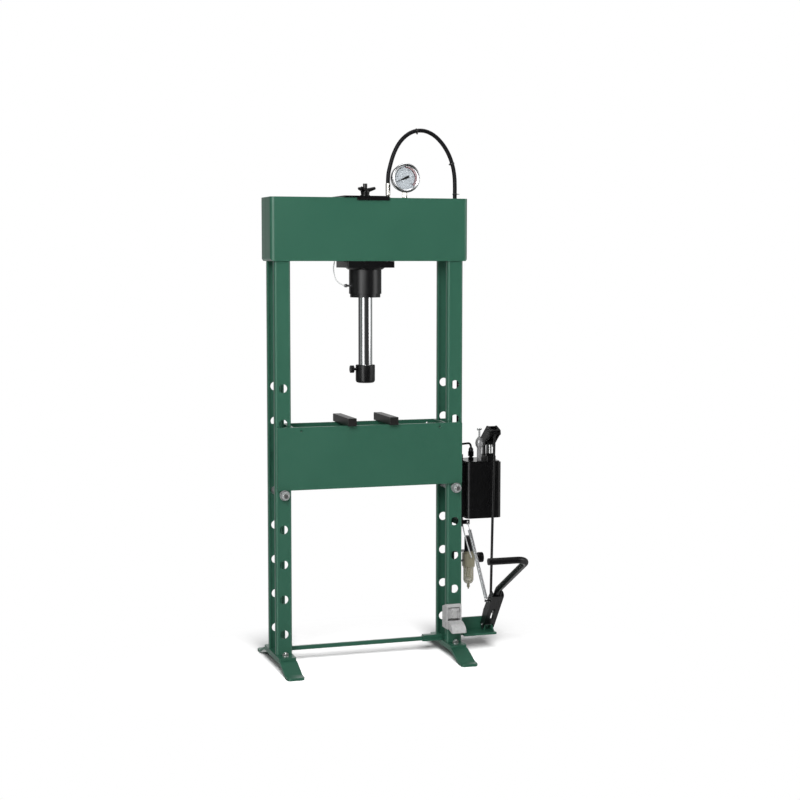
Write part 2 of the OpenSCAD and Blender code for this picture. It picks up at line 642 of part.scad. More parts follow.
// Gauge, drawn along its own axis and turned to face the operator
module facing() translate(gauge_at) rotate([90, 0, 0]) children();
module gauge_case() color(CHROME) at_press() {
    facing() rotate_extrude() polygon([[0, -18], [gauge_d / 2 - 6, -18], [gauge_d / 2 - 4, -16],
        [gauge_d / 2 - 4, 10], [gauge_d / 2, 10], [gauge_d / 2, 18], [gauge_d / 2 - 3, 21],
        [gauge_d / 2 - 7, 21], [gauge_d / 2 - 7, 16], [gauge_d / 2 - 6, 16],
        [gauge_d / 2 - 6, -16], [0, -16]]);
    translate([gauge_at[0], gauge_at[1], manifold_top]) {
        hex(17, gauge_at[2] - manifold_top - gauge_d / 2 + 5);
        cylinder(d = 20, h = 3);
    }
}
module gauge_dial() color(WHITE) at_press() facing() difference() {
    translate([0, 0, 6]) cylinder(d = gauge_d - 12, h = 1.5);
    cylinder(d = 3 + 2 * run_clear, h = 20);
}
module gauge_needle() color(BLACK) at_press() facing() rotate(203) {
    translate([0, 0, 4]) cylinder(d = 3, h = 7);
    translate([0, 0, 9]) cylinder(d = 8, h = 2);
    translate([0, 0, 9]) linear_extrude(1) polygon([[-16, -3], [-16, 3], [0, 2], [38, 0.5],
        [38, -0.5], [0, -2]]);
}
module gauge_glass() color([0.8, 0.85, 0.9]) at_press() facing()
    translate([0, 0, 14]) cylinder(d = gauge_d - 12, h = 2);

// Three-armed clamp knob on the cylinder's stud
module clamp_knob() color(BLACK) at_press() translate([0, 0, boss_top + gap]) difference() {
    union() {
        cylinder(d1 = 30, d2 = 34, h = 12);
        translate([0, 0, 12]) cylinder(d1 = 34, d2 = 26, h = 12);
        for (i = [0:2]) rotate(i * 120 - 8) translate([4, 0, 15]) rotate([0, 73, 0]) {
            cylinder(d1 = 17, d2 = 11, h = 33);
            translate([0, 0, 33]) cylinder(d1 = 11, d2 = 8, h = 3);
        }
    }
    translate([0, 0, -1]) cylinder(r = stud_d / 2 + run_clear, h = 40);
}

// Ram
module ram_rod() color(CHROME) at_press() {
    translate([0, 0, rod_end]) cylinder(d = rod_d, h = piston_z - rod_end);
    translate([0, 0, piston_z]) cylinder(d = bore_d - 2 * run_clear, h = piston_h);
}
module ram_head() color(BLACK) at_press() difference() {
    translate([0, 0, head_z]) rotate_extrude() polygon([[0, 0], [head_size[0] / 2 - 8, 0],
        [head_size[0] / 2 - 3, 2.5], [head_size[0] / 2, 8], [head_size[0] / 2, head_size[1] - 2],
        [head_size[0] / 2 - 2, head_size[1]], [0, head_size[1]]]);
    translate([0, 0, rod_end]) cylinder(d = rod_d, h = 60);
    translate([-head_size[0] / 2 - 1, 0, head_top - 16]) rotate([0, 90, 0])
        cylinder(r = 5 + run_clear, h = 20);
}
module thumb_screw() color(BLACK) at_press() translate([-head_size[0] / 2, 0, head_top - 16])
    rotate([0, -90, 0]) {
        translate([0, 0, -head_size[0] / 2 + rod_d / 2 + gap])
            cylinder(r = 5, h = 9 + head_size[0] / 2 - rod_d / 2 - gap + 1);
        difference() {
            translate([0, 0, 9]) cylinder(d = 28, h = 13);
            for (i = [0:11]) rotate(i * 30) translate([14.6, 0, 8]) cylinder(d = 4, h = 15);
        }
    }

// Lever linkage
module head_outline() leaning(fulcrum, head_tilt) {
    circle(19);
    polygon(rounded_outline([[-2, 18.8], [90, 18.8], [115, -19], [108, -29], [12, -29],
        [-12, -14]], 5));
}
module lever_head() color(BLACK) at_press() translate([lever_x, 0, 0]) difference() {
    union() {
        for (side = [-1, 1]) translate([side * (cheek_in + cheek_t / 2), 0, 0])
            along_x(cheek_t) head_outline();
        along_x(2 * cheek_in + 1) leaning(fulcrum, head_tilt)
            polygon([[22, 10], [87, 10], [108.5, -19], [113, -17], [91.5, 15], [22, 15]]);
        translate([0, fulcrum[0], fulcrum[1]]) rotate([90 - head_tilt, 0, 0])
            translate([0, 0, 22]) cylinder(d = 28, h = 62);
        translate([0, rod_pin[0], rod_pin[1]]) rod_x(10, 44);
        translate([0, rod_pin[0], rod_pin[1]]) for (side = [-1, 1])
            translate([side * 21.5, 0, 0]) rod_x(15, 3);
        translate([0, roller_at[0], roller_at[1]]) rod_x(2 * roller_r, 26);
        translate([0, roller_at[0], roller_at[1]]) rod_x(9, 2 * cheek_in + 6);
    }
    translate([0, fulcrum[0], fulcrum[1]]) rotate([90 - head_tilt, 0, 0]) {
        translate([0, 0, 24]) cylinder(d = 22, h = 61);
        translate([0, 0, 84]) cylinder(d = 26, h = 40);
    }
    translate([0, fulcrum[0], fulcrum[1]]) rod_x(axle_d + 2 * run_clear, 60);
}
module pump_piston() color(CHROME) at_press()
    translate([lever_x, roller_at[0], 0]) {
        top = roller_at[1] - roller_r - gap;
        translate([0, 0, tank_top - 38]) cylinder(d = plunger_d, h = top - 8 - tank_top + 38);
        translate([0, 0, top - 8]) cylinder(d = 18, h = 8);
    }
module pull_rod() color(BLACK) at_press() translate([lever_x, 0, 0]) {
    reach = norm(rod_pin - rod_foot);
    lean = atan2(rod_pin[0] - rod_foot[0], rod_pin[1] - rod_foot[1]);
    translate([0, rod_pin[0], rod_pin[1]]) rotate([-lean, 0, 0]) difference() {
        union() {
            rod_x(19, 12);
            translate([0, 0, -reach + 6]) cylinder(d = 10, h = reach - 12);
            translate([0, 0, -reach]) along_x(10) rotate(90) strap([-4, 0], 9.5, [4, 0], 9.5);
        }
        rod_x(10 + 2 * run_clear, 20);
        translate([0, 0, -reach]) along_x(20) rotate(90) strap([-3.5, 0], 6.2, [3.5, 0], 6.2);
    }
}
module pedal_lever() color(BLACK) at_press() translate([lever_x, 0, 0]) difference() {
    union() {
        for (side = [-1, 1]) translate([side * (pedal_out - pedal_t / 2), 0, 0])
            along_x(pedal_t) leaning(pedal_pin, pedal_tilt) {
                circle(15);
                polygon(rounded_outline([[-2, -15], [180, -15], [180, 14], [120, 20], [60, 24],
                    [4, 14]], 12));
            }
        along_x(2 * pedal_out - 2) leaning(pedal_pin, pedal_tilt) translate([18, -15])
            square([154, pedal_t]);
        translate([0, rod_foot[0], rod_foot[1]]) rod_x(10, 2 * pedal_out - 2);
        translate([-pedal_out - 4.5, spring_foot[1], spring_foot[2]]) rod_x(6, 11);
        translate([-pedal_out - 10.5, spring_foot[1], spring_foot[2]]) rod_x(10, 2);
        swept(bent([for (p = [[118, 2.5], [196, 2.5]]) lever_point(p),
            [0, foot_corner[0], foot_corner[1]],
            [-foot_bar_l, foot_corner[0], foot_corner[1]]], 45, 8),
            foot_tube_d / 2, 24, [0, 0.5, 0.86]);
    }
    translate([0, pedal_pin[0], pedal_pin[1]]) rod_x(axle_d + 2 * run_clear, 60);
    along_x(window_w) leaning(pedal_pin, pedal_tilt) translate([46, -25]) square([55, 30]);
}
// Point [forward, up] of the leaning pedal lever, in the plane of the linkage
function lever_point(p) = [0, pedal_pin[0] - p[0] * cos(pedal_tilt) + p[1] * sin(pedal_tilt),
    pedal_pin[1] + p[0] * sin(pedal_tilt) + p[1] * cos(pedal_tilt)];

// Close-wound return spring with a hook at each end
module return_spring() color(CHROME) at_press() {
    line = spring_foot - spring_top;
    long = norm(line);
    coil = long - 43;
    translate(spring_top) rotate([0, acos(line[2] / long), atan2(line[1], line[0])]) {
        translate([0, 0, 33]) rotate_extrude() polygon([[0, 0], each [for (i = [0:spring_ribs - 1])
            each [[spring_d / 2 - 1, i * coil / spring_ribs],
                [spring_d / 2, (i + 0.5) * coil / spring_ribs]]],
            [spring_d / 2 - 1, coil], [0, coil]]);
        for (z = [hook_r, long - 1.5]) translate([0, 0, z]) rotate([90, 0, 0])
            rotate_extrude() translate([hook_r, 0]) circle(d = spring_wire);
        translate([0, 0, 2 * hook_r]) cylinder(d = spring_wire, h = 34 - 2 * hook_r);
        translate([0, 0, long - 11]) cylinder(d = spring_wire, h = 9.5 - hook_r);
    }
}

column_left_front();
column_left_back();
column_right_front();
column_right_back();
beam_front();
beam_back();
beam_ribs();
foot_left();
foot_right();
base_plates();
foot_bolts();
tie_bar();
pedal_bracket();
pivot_pins();
tank_bracket();
tank();
tank_lid();
pump_block();
outlet_fitting();
pressure_pipe();
hose_coupling();
release_body();
release_handle();
filter_bracket();
filter_body();
filter_bowl();
regulator_knob();
drain_cock();
air_coupling();
air_tube();
foot_valve_body();
foot_valve_treadle();
air_hose();
bed_front();
bed_back();
bed_cross_plates();
press_bars();
bed_pin_left();
bed_pin_right();
carriage_plate();
carriage_cap();
barrel();
gland_ring();
manifold();
hose_ferrule();
hose();
gauge_case();
gauge_dial();
gauge_needle();
gauge_glass();
bleed_tube();
clamp_knob();
ram_rod();
ram_head();
thumb_screw();
lever_head();
pump_piston();
pull_rod();
pedal_lever();
return_spring();
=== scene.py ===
"""Finishes and fine pieces of a floor-standing workshop press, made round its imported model.

Each operator makes one piece or one group of like pieces. Its sizes and places are in millimetres,
the places from the foot of the ram's axis. The settings, the stage and surfaces are in metres.
"""

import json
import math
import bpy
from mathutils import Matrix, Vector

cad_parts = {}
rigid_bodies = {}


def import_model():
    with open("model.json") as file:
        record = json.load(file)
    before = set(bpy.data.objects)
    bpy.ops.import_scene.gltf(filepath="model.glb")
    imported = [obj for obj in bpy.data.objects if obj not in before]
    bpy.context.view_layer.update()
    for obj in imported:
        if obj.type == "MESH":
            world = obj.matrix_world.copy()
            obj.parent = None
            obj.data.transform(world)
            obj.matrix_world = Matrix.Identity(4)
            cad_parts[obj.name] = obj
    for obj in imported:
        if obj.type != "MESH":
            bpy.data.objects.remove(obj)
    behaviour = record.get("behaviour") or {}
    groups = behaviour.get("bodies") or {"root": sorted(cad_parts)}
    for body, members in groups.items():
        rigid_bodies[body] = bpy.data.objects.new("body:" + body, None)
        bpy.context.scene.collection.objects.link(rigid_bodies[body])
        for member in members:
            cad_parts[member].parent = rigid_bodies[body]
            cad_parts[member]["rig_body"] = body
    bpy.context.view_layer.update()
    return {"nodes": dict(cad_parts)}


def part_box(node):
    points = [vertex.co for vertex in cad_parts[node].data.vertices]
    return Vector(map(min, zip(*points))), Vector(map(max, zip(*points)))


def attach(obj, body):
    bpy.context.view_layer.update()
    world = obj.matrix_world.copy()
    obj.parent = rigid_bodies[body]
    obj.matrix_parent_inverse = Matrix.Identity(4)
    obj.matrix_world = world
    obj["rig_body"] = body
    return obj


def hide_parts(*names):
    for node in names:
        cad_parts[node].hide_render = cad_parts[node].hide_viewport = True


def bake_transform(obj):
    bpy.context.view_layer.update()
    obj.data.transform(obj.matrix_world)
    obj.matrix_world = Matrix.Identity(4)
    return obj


bl_info = {
    "name": "Workshop press",
    "version": (1, 0, 0),
    "blender": (4, 5, 0),
    "location": "3D View > Sidebar > Press",
    "description": "Builds the finishes and fine pieces of a floor-standing workshop press",
    "category": "Add Mesh",
}

import bmesh
import bpy
import numpy as np
from bpy.props import FloatProperty, FloatVectorProperty, IntProperty, PointerProperty
from mathutils import Matrix

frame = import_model()
MM = 0.001
X, Y, Z = np.eye(3)
TURN = 2 * math.pi


# ------------------------------------------------------------------ settings
def colour(name, text, value):
    """A colour setting, written as linear red, green and blue."""
    return FloatVectorProperty(name=name, description=text, subtype="COLOR", size=3, min=0, max=1,
                               default=value)


def length(name, text, value):
    """A length setting in metres."""
    return FloatProperty(name=name, description=text, default=value, min=0, subtype="DISTANCE",
                         unit="LENGTH")


def angle_of(name, text, degrees):
    """An angle setting, given in degrees."""
    return FloatProperty(name=name, description=text, default=math.radians(degrees), subtype="ANGLE",
                         unit="ROTATION")


def power(name, text, watts):
    """The power of a lamp, in watts."""
    return FloatProperty(name=name, description=text, default=watts, min=0, subtype="POWER", unit="POWER")


class PressFinish(bpy.types.PropertyGroup):
    """Colours and surface textures."""
    frame_paint: colour("Frame paint", "Powder coat of the frame, the bed and the feet",
                        (0.0275, 0.116, 0.0735))
    black_paint: colour("Black paint", "Paint of the cylinder, the tank and the levers",
                        (0.0042, 0.0042, 0.0046))
    rubber: colour("Rubber", "Cover of the pressure hose", (0.006, 0.006, 0.007))
    bowl: colour("Bowl", "Tint of the filter's bowl", (0.46, 0.43, 0.31))
    cast: colour("Cast metal", "Die-cast foot valve", (0.60, 0.60, 0.60))
    zinc: colour("Zinc", "Plated nuts, washers and fittings", (0.74, 0.75, 0.74))
    chrome: colour("Chrome", "Ram, gauge case and spring", (0.78, 0.79, 0.80))
    filter_paint: colour("Filter body", "Body of the air filter", (0.29, 0.27, 0.19))
    peel: length("Peel", "Depth of the orange peel in the powder coat", 0.00004)


class PressDetail(bpy.types.PropertyGroup):
    """Sizes of the fine pieces."""
    edge: length("Edge", "Radius of painted edges", 0.0012)
    hose: length("Hose", "Diameter of the pressure hose", 0.015)
    wire: length("Spring wire", "Diameter of the return spring's wire", 0.0022)
    spring: length("Spring", "Diameter of the return spring", 0.0138)
    turns: IntProperty(name="Turns", description="Turns of the return spring", default=116, min=8)
    tie: length("Cable tie", "Width of a cable tie", 0.0048)
    arc: angle_of("Dial arc", "Angle of the gauge's scale", 270)


class PressStage(bpy.types.PropertyGroup):
    """Camera, lamps and floor."""
    azimuth: angle_of("Azimuth", "Camera's turn round the press", -17.938)
    elevation: angle_of("Elevation", "Camera's angle above the horizon", 5.029)
    roll: angle_of("Roll", "Camera's lean", 0.042)
    distance: length("Distance", "Camera's distance from the point it looks at", 6.0732)
    aim: length("Aim", "Height of the point that the camera looks at", 0.9722)
    aim_side: length("Aim side", "How far to the ram's right the camera looks", 0.1353)
    lens: FloatProperty(name="Lens", description="Focal length in millimetres", default=73.07, min=20)
    key: power("Key", "Power of the main lamp", 122)
    fill: power("Fill", "Power of the lamp on the right", 30)
    top: power("Top", "Power of the lamp above", 42)
    floor: power("Floor lamp", "Power of the lamp that lights only the floor", 1100)
    sky: FloatProperty(name="Sky", description="Level of the light from all round", default=0.30, min=0)


# ------------------------------------------------------------------ places
def box(node):
    """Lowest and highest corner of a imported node, as arrays."""
    low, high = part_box(node)
    return np.array(low), np.array(high)


def middle(node):
    """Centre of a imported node's box."""
    low, high = box(node)
    return (low + high) / 2


RAM = middle("ram_rod") * (X + Y)


def at(x, y, z):
    """A place x, y and z millimetres from the foot of the ram's axis."""
    return RAM + MM * np.array([x, y, z], float)


def unit(v):
    """v over its own length, along the last axis."""
    return v / np.linalg.norm(v, axis=-1, keepdims=True)


def aimed(thing, right, up, back, place):
    """Puts a camera or lamp at a place, turned so that it looks against the direction called back."""
    matrix = np.eye(4)
    matrix[:3] = np.stack([right, up, back, place], 1)
    thing.matrix_world = Matrix(matrix.tolist())


# ------------------------------------------------------------------ surfaces
# Faces of a new piece, and of a copied node, meet in a sharp edge past these angles. Copied faces
# within FLAT of one another become one face, and points within SAME_PLACE, in metres, one point.
PIECE_CREASE = math.radians(35)
NODE_CREASE = math.radians(32)
FLAT = math.radians(0.4)
SAME_PLACE = 2e-6


def lattice(rows, columns, closed_rows=False):
    """Four-sided faces of a grid that closes round its columns, and round its rows if asked."""
    i = np.arange(rows if closed_rows else rows - 1)[:, None]
    j = np.arange(columns)[None, :]
    k, n = (i + 1) % rows, (j + 1) % columns
    corners = [i * columns + j, i * columns + n, k * columns + n, k * columns + j]
    return np.stack([c + 0 * i + 0 * j for c in corners], -1).reshape(-1, 4).tolist()


def shell(grid, closed=False):
    """Vertices and faces of a grid of points (rows, columns, 3), with flat ends if it isn't closed."""
    rows, columns = grid.shape[:2]
    faces = lattice(rows, columns, closed)
    if not closed:
        faces.append(list(range(columns))[::-1])
        faces.append([(rows - 1) * columns + j for j in range(columns)])
    return grid.reshape(-1, 3), faces


def sides_of(axis):
    """Two directions at right angles to an axis and to each other."""
    axis = unit(np.array(axis, float))
    first = unit(np.cross(axis, Y if abs(axis[1]) < 0.9 else X))
    return axis, first, np.cross(axis, first)


def turned(profile, origin, axis=Z, sides=48, closed=False, shape=None):
    """A turned form of a profile in millimetres. A point is the origin, plus its height along the
    axis, plus its radius times (the cosine of its angle along one side direction and the sine along
    the other). shape gives the radius from the profile's radius, the angle and the height, for
    hexagons, threads, crimps and pleats."""
    axis, first, second = sides_of(axis)
    profile = np.array(profile, float) * MM
    angle = np.linspace(0, TURN, sides, endpoint=False)[None, :]
    radius = np.repeat(profile[:, :1], sides, 1)
    height = np.repeat(profile[:, 1:], sides, 1)
    if shape:
        radius = shape(radius, angle, height)
    grid = (np.array(origin, float) + height[..., None] * axis
            + (radius * np.cos(angle))[..., None] * first + (radius * np.sin(angle))[..., None] * second)
    return shell(grid, closed)


def hexagon(across, turn=0.0):
    """Radius of a chamfered nut: the flats' distance over the cosine of the angle from the nearest
    flat's middle, held under a cone at both ends by the profile's own radius."""
    def shape(radius, angle, height):
        flat = across * MM / 2 / np.cos(((angle + turn) % (TURN / 6)) - TURN / 12)
        return np.minimum(flat, radius)
    return shape


def nut(across, low, high, origin, axis=Z, bevel=1.2, turn=0.0):
    """A hexagon nut or head between two heights, with cone chamfers at both ends. The cones start
    0.4 mm inside the flats and end just past the corners."""
    corner = across / 2 / math.cos(TURN / 12) + 0.05
    inner = across / 2 - 0.4
    profile = [[inner, low], [corner, low + bevel], [corner, high - bevel], [inner, high]]
    return turned(profile, origin, axis, 60, shape=hexagon(across, turn))


def thread(pitch, depth):
    """Radius of a screw thread: a triangle wave of the height over the pitch, less the angle's share
    of a turn."""
    def shape(radius, angle, height):
        phase = (height / (pitch * MM) - angle / TURN) % 1
        return radius - depth * MM * np.abs(2 * phase - 1)
    return shape


def screw(radius, low, high, origin, pitch, depth=0.8):
    """A threaded shank between two heights, with eight stations to a turn of the thread."""
    count = max(int((high - low) / pitch * 8), 8)
    heights = np.linspace(low, high, count)
    profile = np.stack([np.full(count, float(radius)), heights], -1)
    return turned(profile, origin, Z, 24, shape=thread(pitch, depth))


def ring(radius, wire, origin, axis, around=12):
    """A torus: a small circle of half the wire's thickness carried round a circle of that radius."""
    a = np.linspace(0, TURN, around, endpoint=False)
    profile = np.stack([radius + wire / 2 * np.cos(a), wire / 2 * np.sin(a)], -1)
    return turned(profile, origin, axis, 40, closed=True)


def tube(points, radius, sides, side):
    """A bar along a route, in metres. Each ring is its point, plus the radius times (the cosine of
    the angle along one direction across the route and the sine along the other). The first of them
    is at right angles to side. radius may be one number or one for each point."""
    points = np.array(points, float)
    along = unit(np.gradient(points, axis=0))
    first = unit(np.cross(np.array(side, float), along))
    second = np.cross(along, first)
    angle = np.linspace(0, TURN, sides, endpoint=False)[None, :, None]
    size = np.broadcast_to(np.array(radius, float), len(points))[:, None, None]
    grid = points[:, None] + size * (np.cos(angle) * first[:, None] + np.sin(angle) * second[:, None])
    return shell(grid)


def smooth_route(points, steps):
    """A curve through points: each span is a cubic whose slope at a point is half the chord between
    its neighbours."""
    p = np.array(points, float)
    p = np.concatenate([2 * p[:1] - p[1:2], p, 2 * p[-1:] - p[-2:-1]])
    t = np.arange(steps)[None, :, None] / steps
    a, b, c, d = p[:-3, None], p[1:-2, None], p[2:-1, None], p[3:, None]
    curve = b + (c - a) * t / 2 + (2 * a - 5 * b + 4 * c - d) * t**2 / 2 + (3 * b - a - 3 * c + d) * t**3 / 2
    return np.concatenate([curve.reshape(-1, 3), p[-2:-1]])


def joined(*parts):
    """Several (vertices, faces) pairs as one."""
    vertices, faces, count = [], [], 0
    for v, f in parts:
        faces += [[i + count for i in face] for face in f]
        vertices.append(np.asarray(v))
        count += len(v)
    return np.concatenate(vertices), faces


def put(name, mesh, finish, crease):
    """Makes a smooth-shaded object of a mesh, sharp where its faces meet at more than the crease."""
    mesh.polygons.foreach_set("use_smooth", np.ones(len(mesh.polygons), bool))
    mesh.set_sharp_from_angle(angle=crease)
    mesh.materials.clear()
    mesh.materials.append(finish)
    thing = bpy.data.objects.new(name, mesh)
    bpy.context.scene.collection.objects.link(thing)
    return thing


def piece(name, surface, finish, body, replaces=(), blend=None):
    """Puts a surface into a mesh object with a finish, and hangs it on its body. When blend is given, the
    piece instead stays where it is on no body; the two bodies and two places that blend names are not read."""
    vertices, faces = surface
    mesh = bpy.data.meshes.new(name)
    mesh.from_pydata(np.asarray(vertices).tolist(), [], faces)
    mesh.validate()
    mesh.update()
    thing = put(name, mesh, finish, PIECE_CREASE)
    if blend:
        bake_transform(thing)
    else:
        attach(thing, body)
    if replaces:
        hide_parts(*replaces)


def eased(node, finish, edge):
    """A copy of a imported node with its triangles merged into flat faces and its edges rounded. Where
    two rounded edges use up the face between them, the points that meet there are made one."""
    source = frame["nodes"][node]
    mesh = source.data.copy()
    mesh.name = node + "_eased"
    work = bmesh.new()
    work.from_mesh(mesh)
    bmesh.ops.remove_doubles(work, verts=work.verts, dist=SAME_PLACE)
    bmesh.ops.dissolve_limit(work, angle_limit=FLAT, verts=work.verts, edges=work.edges)
    work.to_mesh(mesh)
    work.free()
    if mesh.attributes.get("custom_normal"):
        mesh.attributes.remove(mesh.attributes["custom_normal"])
    thing = put(node + "_finished", mesh, finish, NODE_CREASE)
    if edge:
        round_over = thing.modifiers.new("Edges", "BEVEL")
        round_over.width = edge
        round_over.segments = 2
        round_over.limit_method = "ANGLE"
        round_over.angle_limit = NODE_CREASE
        round_over.harden_normals = True
        round_over.use_clamp_overlap = True
        merged = thing.modifiers.new("Merged", "WELD")
        merged.merge_threshold = SAME_PLACE
    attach(thing, source["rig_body"])
    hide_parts(node)


# ------------------------------------------------------------------ finishes
class Wire:
    """A node's output. Arithmetic on it adds Math nodes."""

    def __init__(self, net, socket):
        self.net, self.socket = net, socket

    def math(self, kind, a, b):
        return self.net.node("ShaderNodeMath", {"operation": kind}, {0: a, 1: b})

    def __add__(self, other):
        return self.math("ADD", self, other)

    def __mul__(self, other):
        return self.math("MULTIPLY", self, other)

    __radd__ = __add__
    __rmul__ = __mul__

    def beside(self, name):
        """Another output of the same node."""
        return Wire(self.net, self.socket.node.outputs[name])


class Net:
    """The node tree of one finish, or of the room when its tree is handed in."""

    def __init__(self, name, tree=None):
        if tree is None:
            self.material = bpy.data.materials.new(name)
            if self.material.name != name:
                raise RuntimeError("the packed model has a material called " + name)
            self.material.use_nodes = True
            tree = self.material.node_tree
        self.tree = tree
        self.tree.nodes.clear()
        self.place = self.node("ShaderNodeTexCoord", {}, {}, "Object")

    def node(self, kind, settings, sockets, out=0):
        """Adds a node: its settings first, then the values or links of its sockets."""
        node = self.tree.nodes.new(kind)
        for key, value in settings.items():
            if key == "stops":
                ramp = node.color_ramp.elements
                while len(ramp) < len(value):
                    ramp.new(0.5)
                for element, (position, shade) in zip(ramp, value):
                    element.position = position
                    element.color = (*shade, 1)
            else:
                setattr(node, key, value)
        for key, value in sockets.items():
            if isinstance(value, Wire):
                self.tree.links.new(value.socket, node.inputs[key])
            else:
                node.inputs[key].default_value = value
        return Wire(self, node.outputs[out])

    def noise(self, scale, detail=2, stretch=(1, 1, 1)):
        """Cloudy noise from 0 to 1 over the model's own coordinates."""
        where = self.node("ShaderNodeMapping", {}, {"Vector": self.place, "Scale": stretch})
        return self.node("ShaderNodeTexNoise", {}, {"Vector": where, "Scale": scale, "Detail": detail})

    def between(self, amount, low, high):
        """A colour that goes from low to high with an amount."""
        low, high = (c if isinstance(c, Wire) else (*c, 1) for c in (low, high))
        return self.node("ShaderNodeMix", {"data_type": "RGBA"}, {0: amount, 6: low, 7: high}, 2)

    def bump(self, height, distance):
        """A normal from a height between 0 and 1 that stands for so many metres."""
        return self.node("ShaderNodeBump", {}, {"Height": height, "Distance": distance, "Strength": 1.0})

    def shine(self, **sockets):
        """The principled surface, with underscores for the spaces in its sockets' names."""
        named = {key.replace("_", " "): value for key, value in sockets.items()}
        return self.node("ShaderNodeBsdfPrincipled", {}, named)

    def finish(self, surface):
        """Sends a surface to the output."""
        out = self.tree.nodes.new("ShaderNodeOutputMaterial")
        self.tree.links.new(surface.socket, out.inputs["Surface"])
        return self.material


def shade(base, by):
    """A colour made lighter or darker, kept under white."""
    return tuple(min(c * by, 1.0) for c in base)


def coat(name, base, rough=0.36, peel=0.00004, tone=0.06, grain=520, clear=0.0, level=0.5):
    """Sprayed coat: slow clouds in tone and gloss, and an orange peel in its height."""
    net = Net(name)
    cloud = net.noise(5.0, 3)
    speck = net.noise(grain, 2)
    tint = net.between(cloud, shade(base, 1 - tone), shade(base, 1 + tone))
    gloss = cloud * 0.10 + (rough - 0.05)
    return net.finish(net.shine(Base_Color=tint, Roughness=gloss, Coat_Weight=clear,
                                Specular_IOR_Level=level, Normal=net.bump(speck, peel)))


def metal(name, base, rough=0.25, stretch=(1, 1, 1), grain=300, depth=0.00001, tone=0.08):
    """Bare or plated metal: fine marks along one direction in gloss and height."""
    net = Net(name)
    marks = net.noise(grain, 3, stretch)
    cloud = net.noise(14.0, 3)
    tint = net.between(cloud, shade(base, 1 - tone), shade(base, 1 + tone))
    return net.finish(net.shine(Base_Color=tint, Metallic=1.0,
                                Roughness=marks * 0.12 + cloud * 0.08 + (rough - 0.10),
                                Normal=net.bump(marks, depth)))


def cast(name, base, rough=0.5):
    """Sand- or die-cast metal: a pebbly height, with painted shade in its hollows and painted glints on its
    tops over a cloudy tone.
    """
    net = Net(name)
    pebble_height_and_shade = net.noise(260, 4)
    cloud = net.noise(85, 3)
    # The tone follows the height: painted shade in the hollows and painted glints on the tops, mixed with
    # the metal's own cloudy tone.
    tint = net.between(pebble_height_and_shade * 0.45 + cloud * 0.55, shade(base, 0.55), shade(base, 1.35))
    return net.finish(net.shine(Base_Color=tint, Metallic=0.3, Roughness=cloud * 0.2 + (rough - 0.1),
                                Normal=net.bump(pebble_height_and_shade, 0.00015)))


def moulded(name, base, rough=0.45, grain=700, depth=0.00003, level=0.5):
    """Moulded plastic or rubber: a fine even grain and slight clouds in gloss."""
    net = Net(name)
    fine = net.noise(grain, 2)
    cloud = net.noise(20, 2)
    tint = net.between(cloud, shade(base, 0.9), shade(base, 1.15))
    return net.finish(net.shine(Base_Color=tint, Roughness=cloud * 0.14 + (rough - 0.07),
                                Specular_IOR_Level=level, Normal=net.bump(fine, depth)))


def pane(name, base, alpha, rough):
    """A glass pane: the principled surface with a fixed see-through share."""
    net = Net(name)
    cloud = net.noise(40, 2)
    tint = net.between(cloud, shade(base, 0.9), shade(base, 1.1))
    return net.finish(net.shine(Base_Color=tint, Roughness=rough, Alpha=alpha, Coat_Weight=0.5))


def smoked(name, base, rough):
    """A thick smoky bowl, less clear where its wall is seen along its depth: the share that hides
    what is behind is 0.38, plus 0.45 times how far the surface turns from the line of sight."""
    net = Net(name)
    edge = net.node("ShaderNodeLayerWeight", {}, {"Blend": 0.45}, "Facing")
    cloud = net.noise(40, 2)
    return net.finish(net.shine(Base_Color=net.between(cloud, shade(base, 0.85), shade(base, 1.15)),
                                Roughness=rough, Alpha=edge * 0.45 + 0.38, Coat_Weight=0.5))


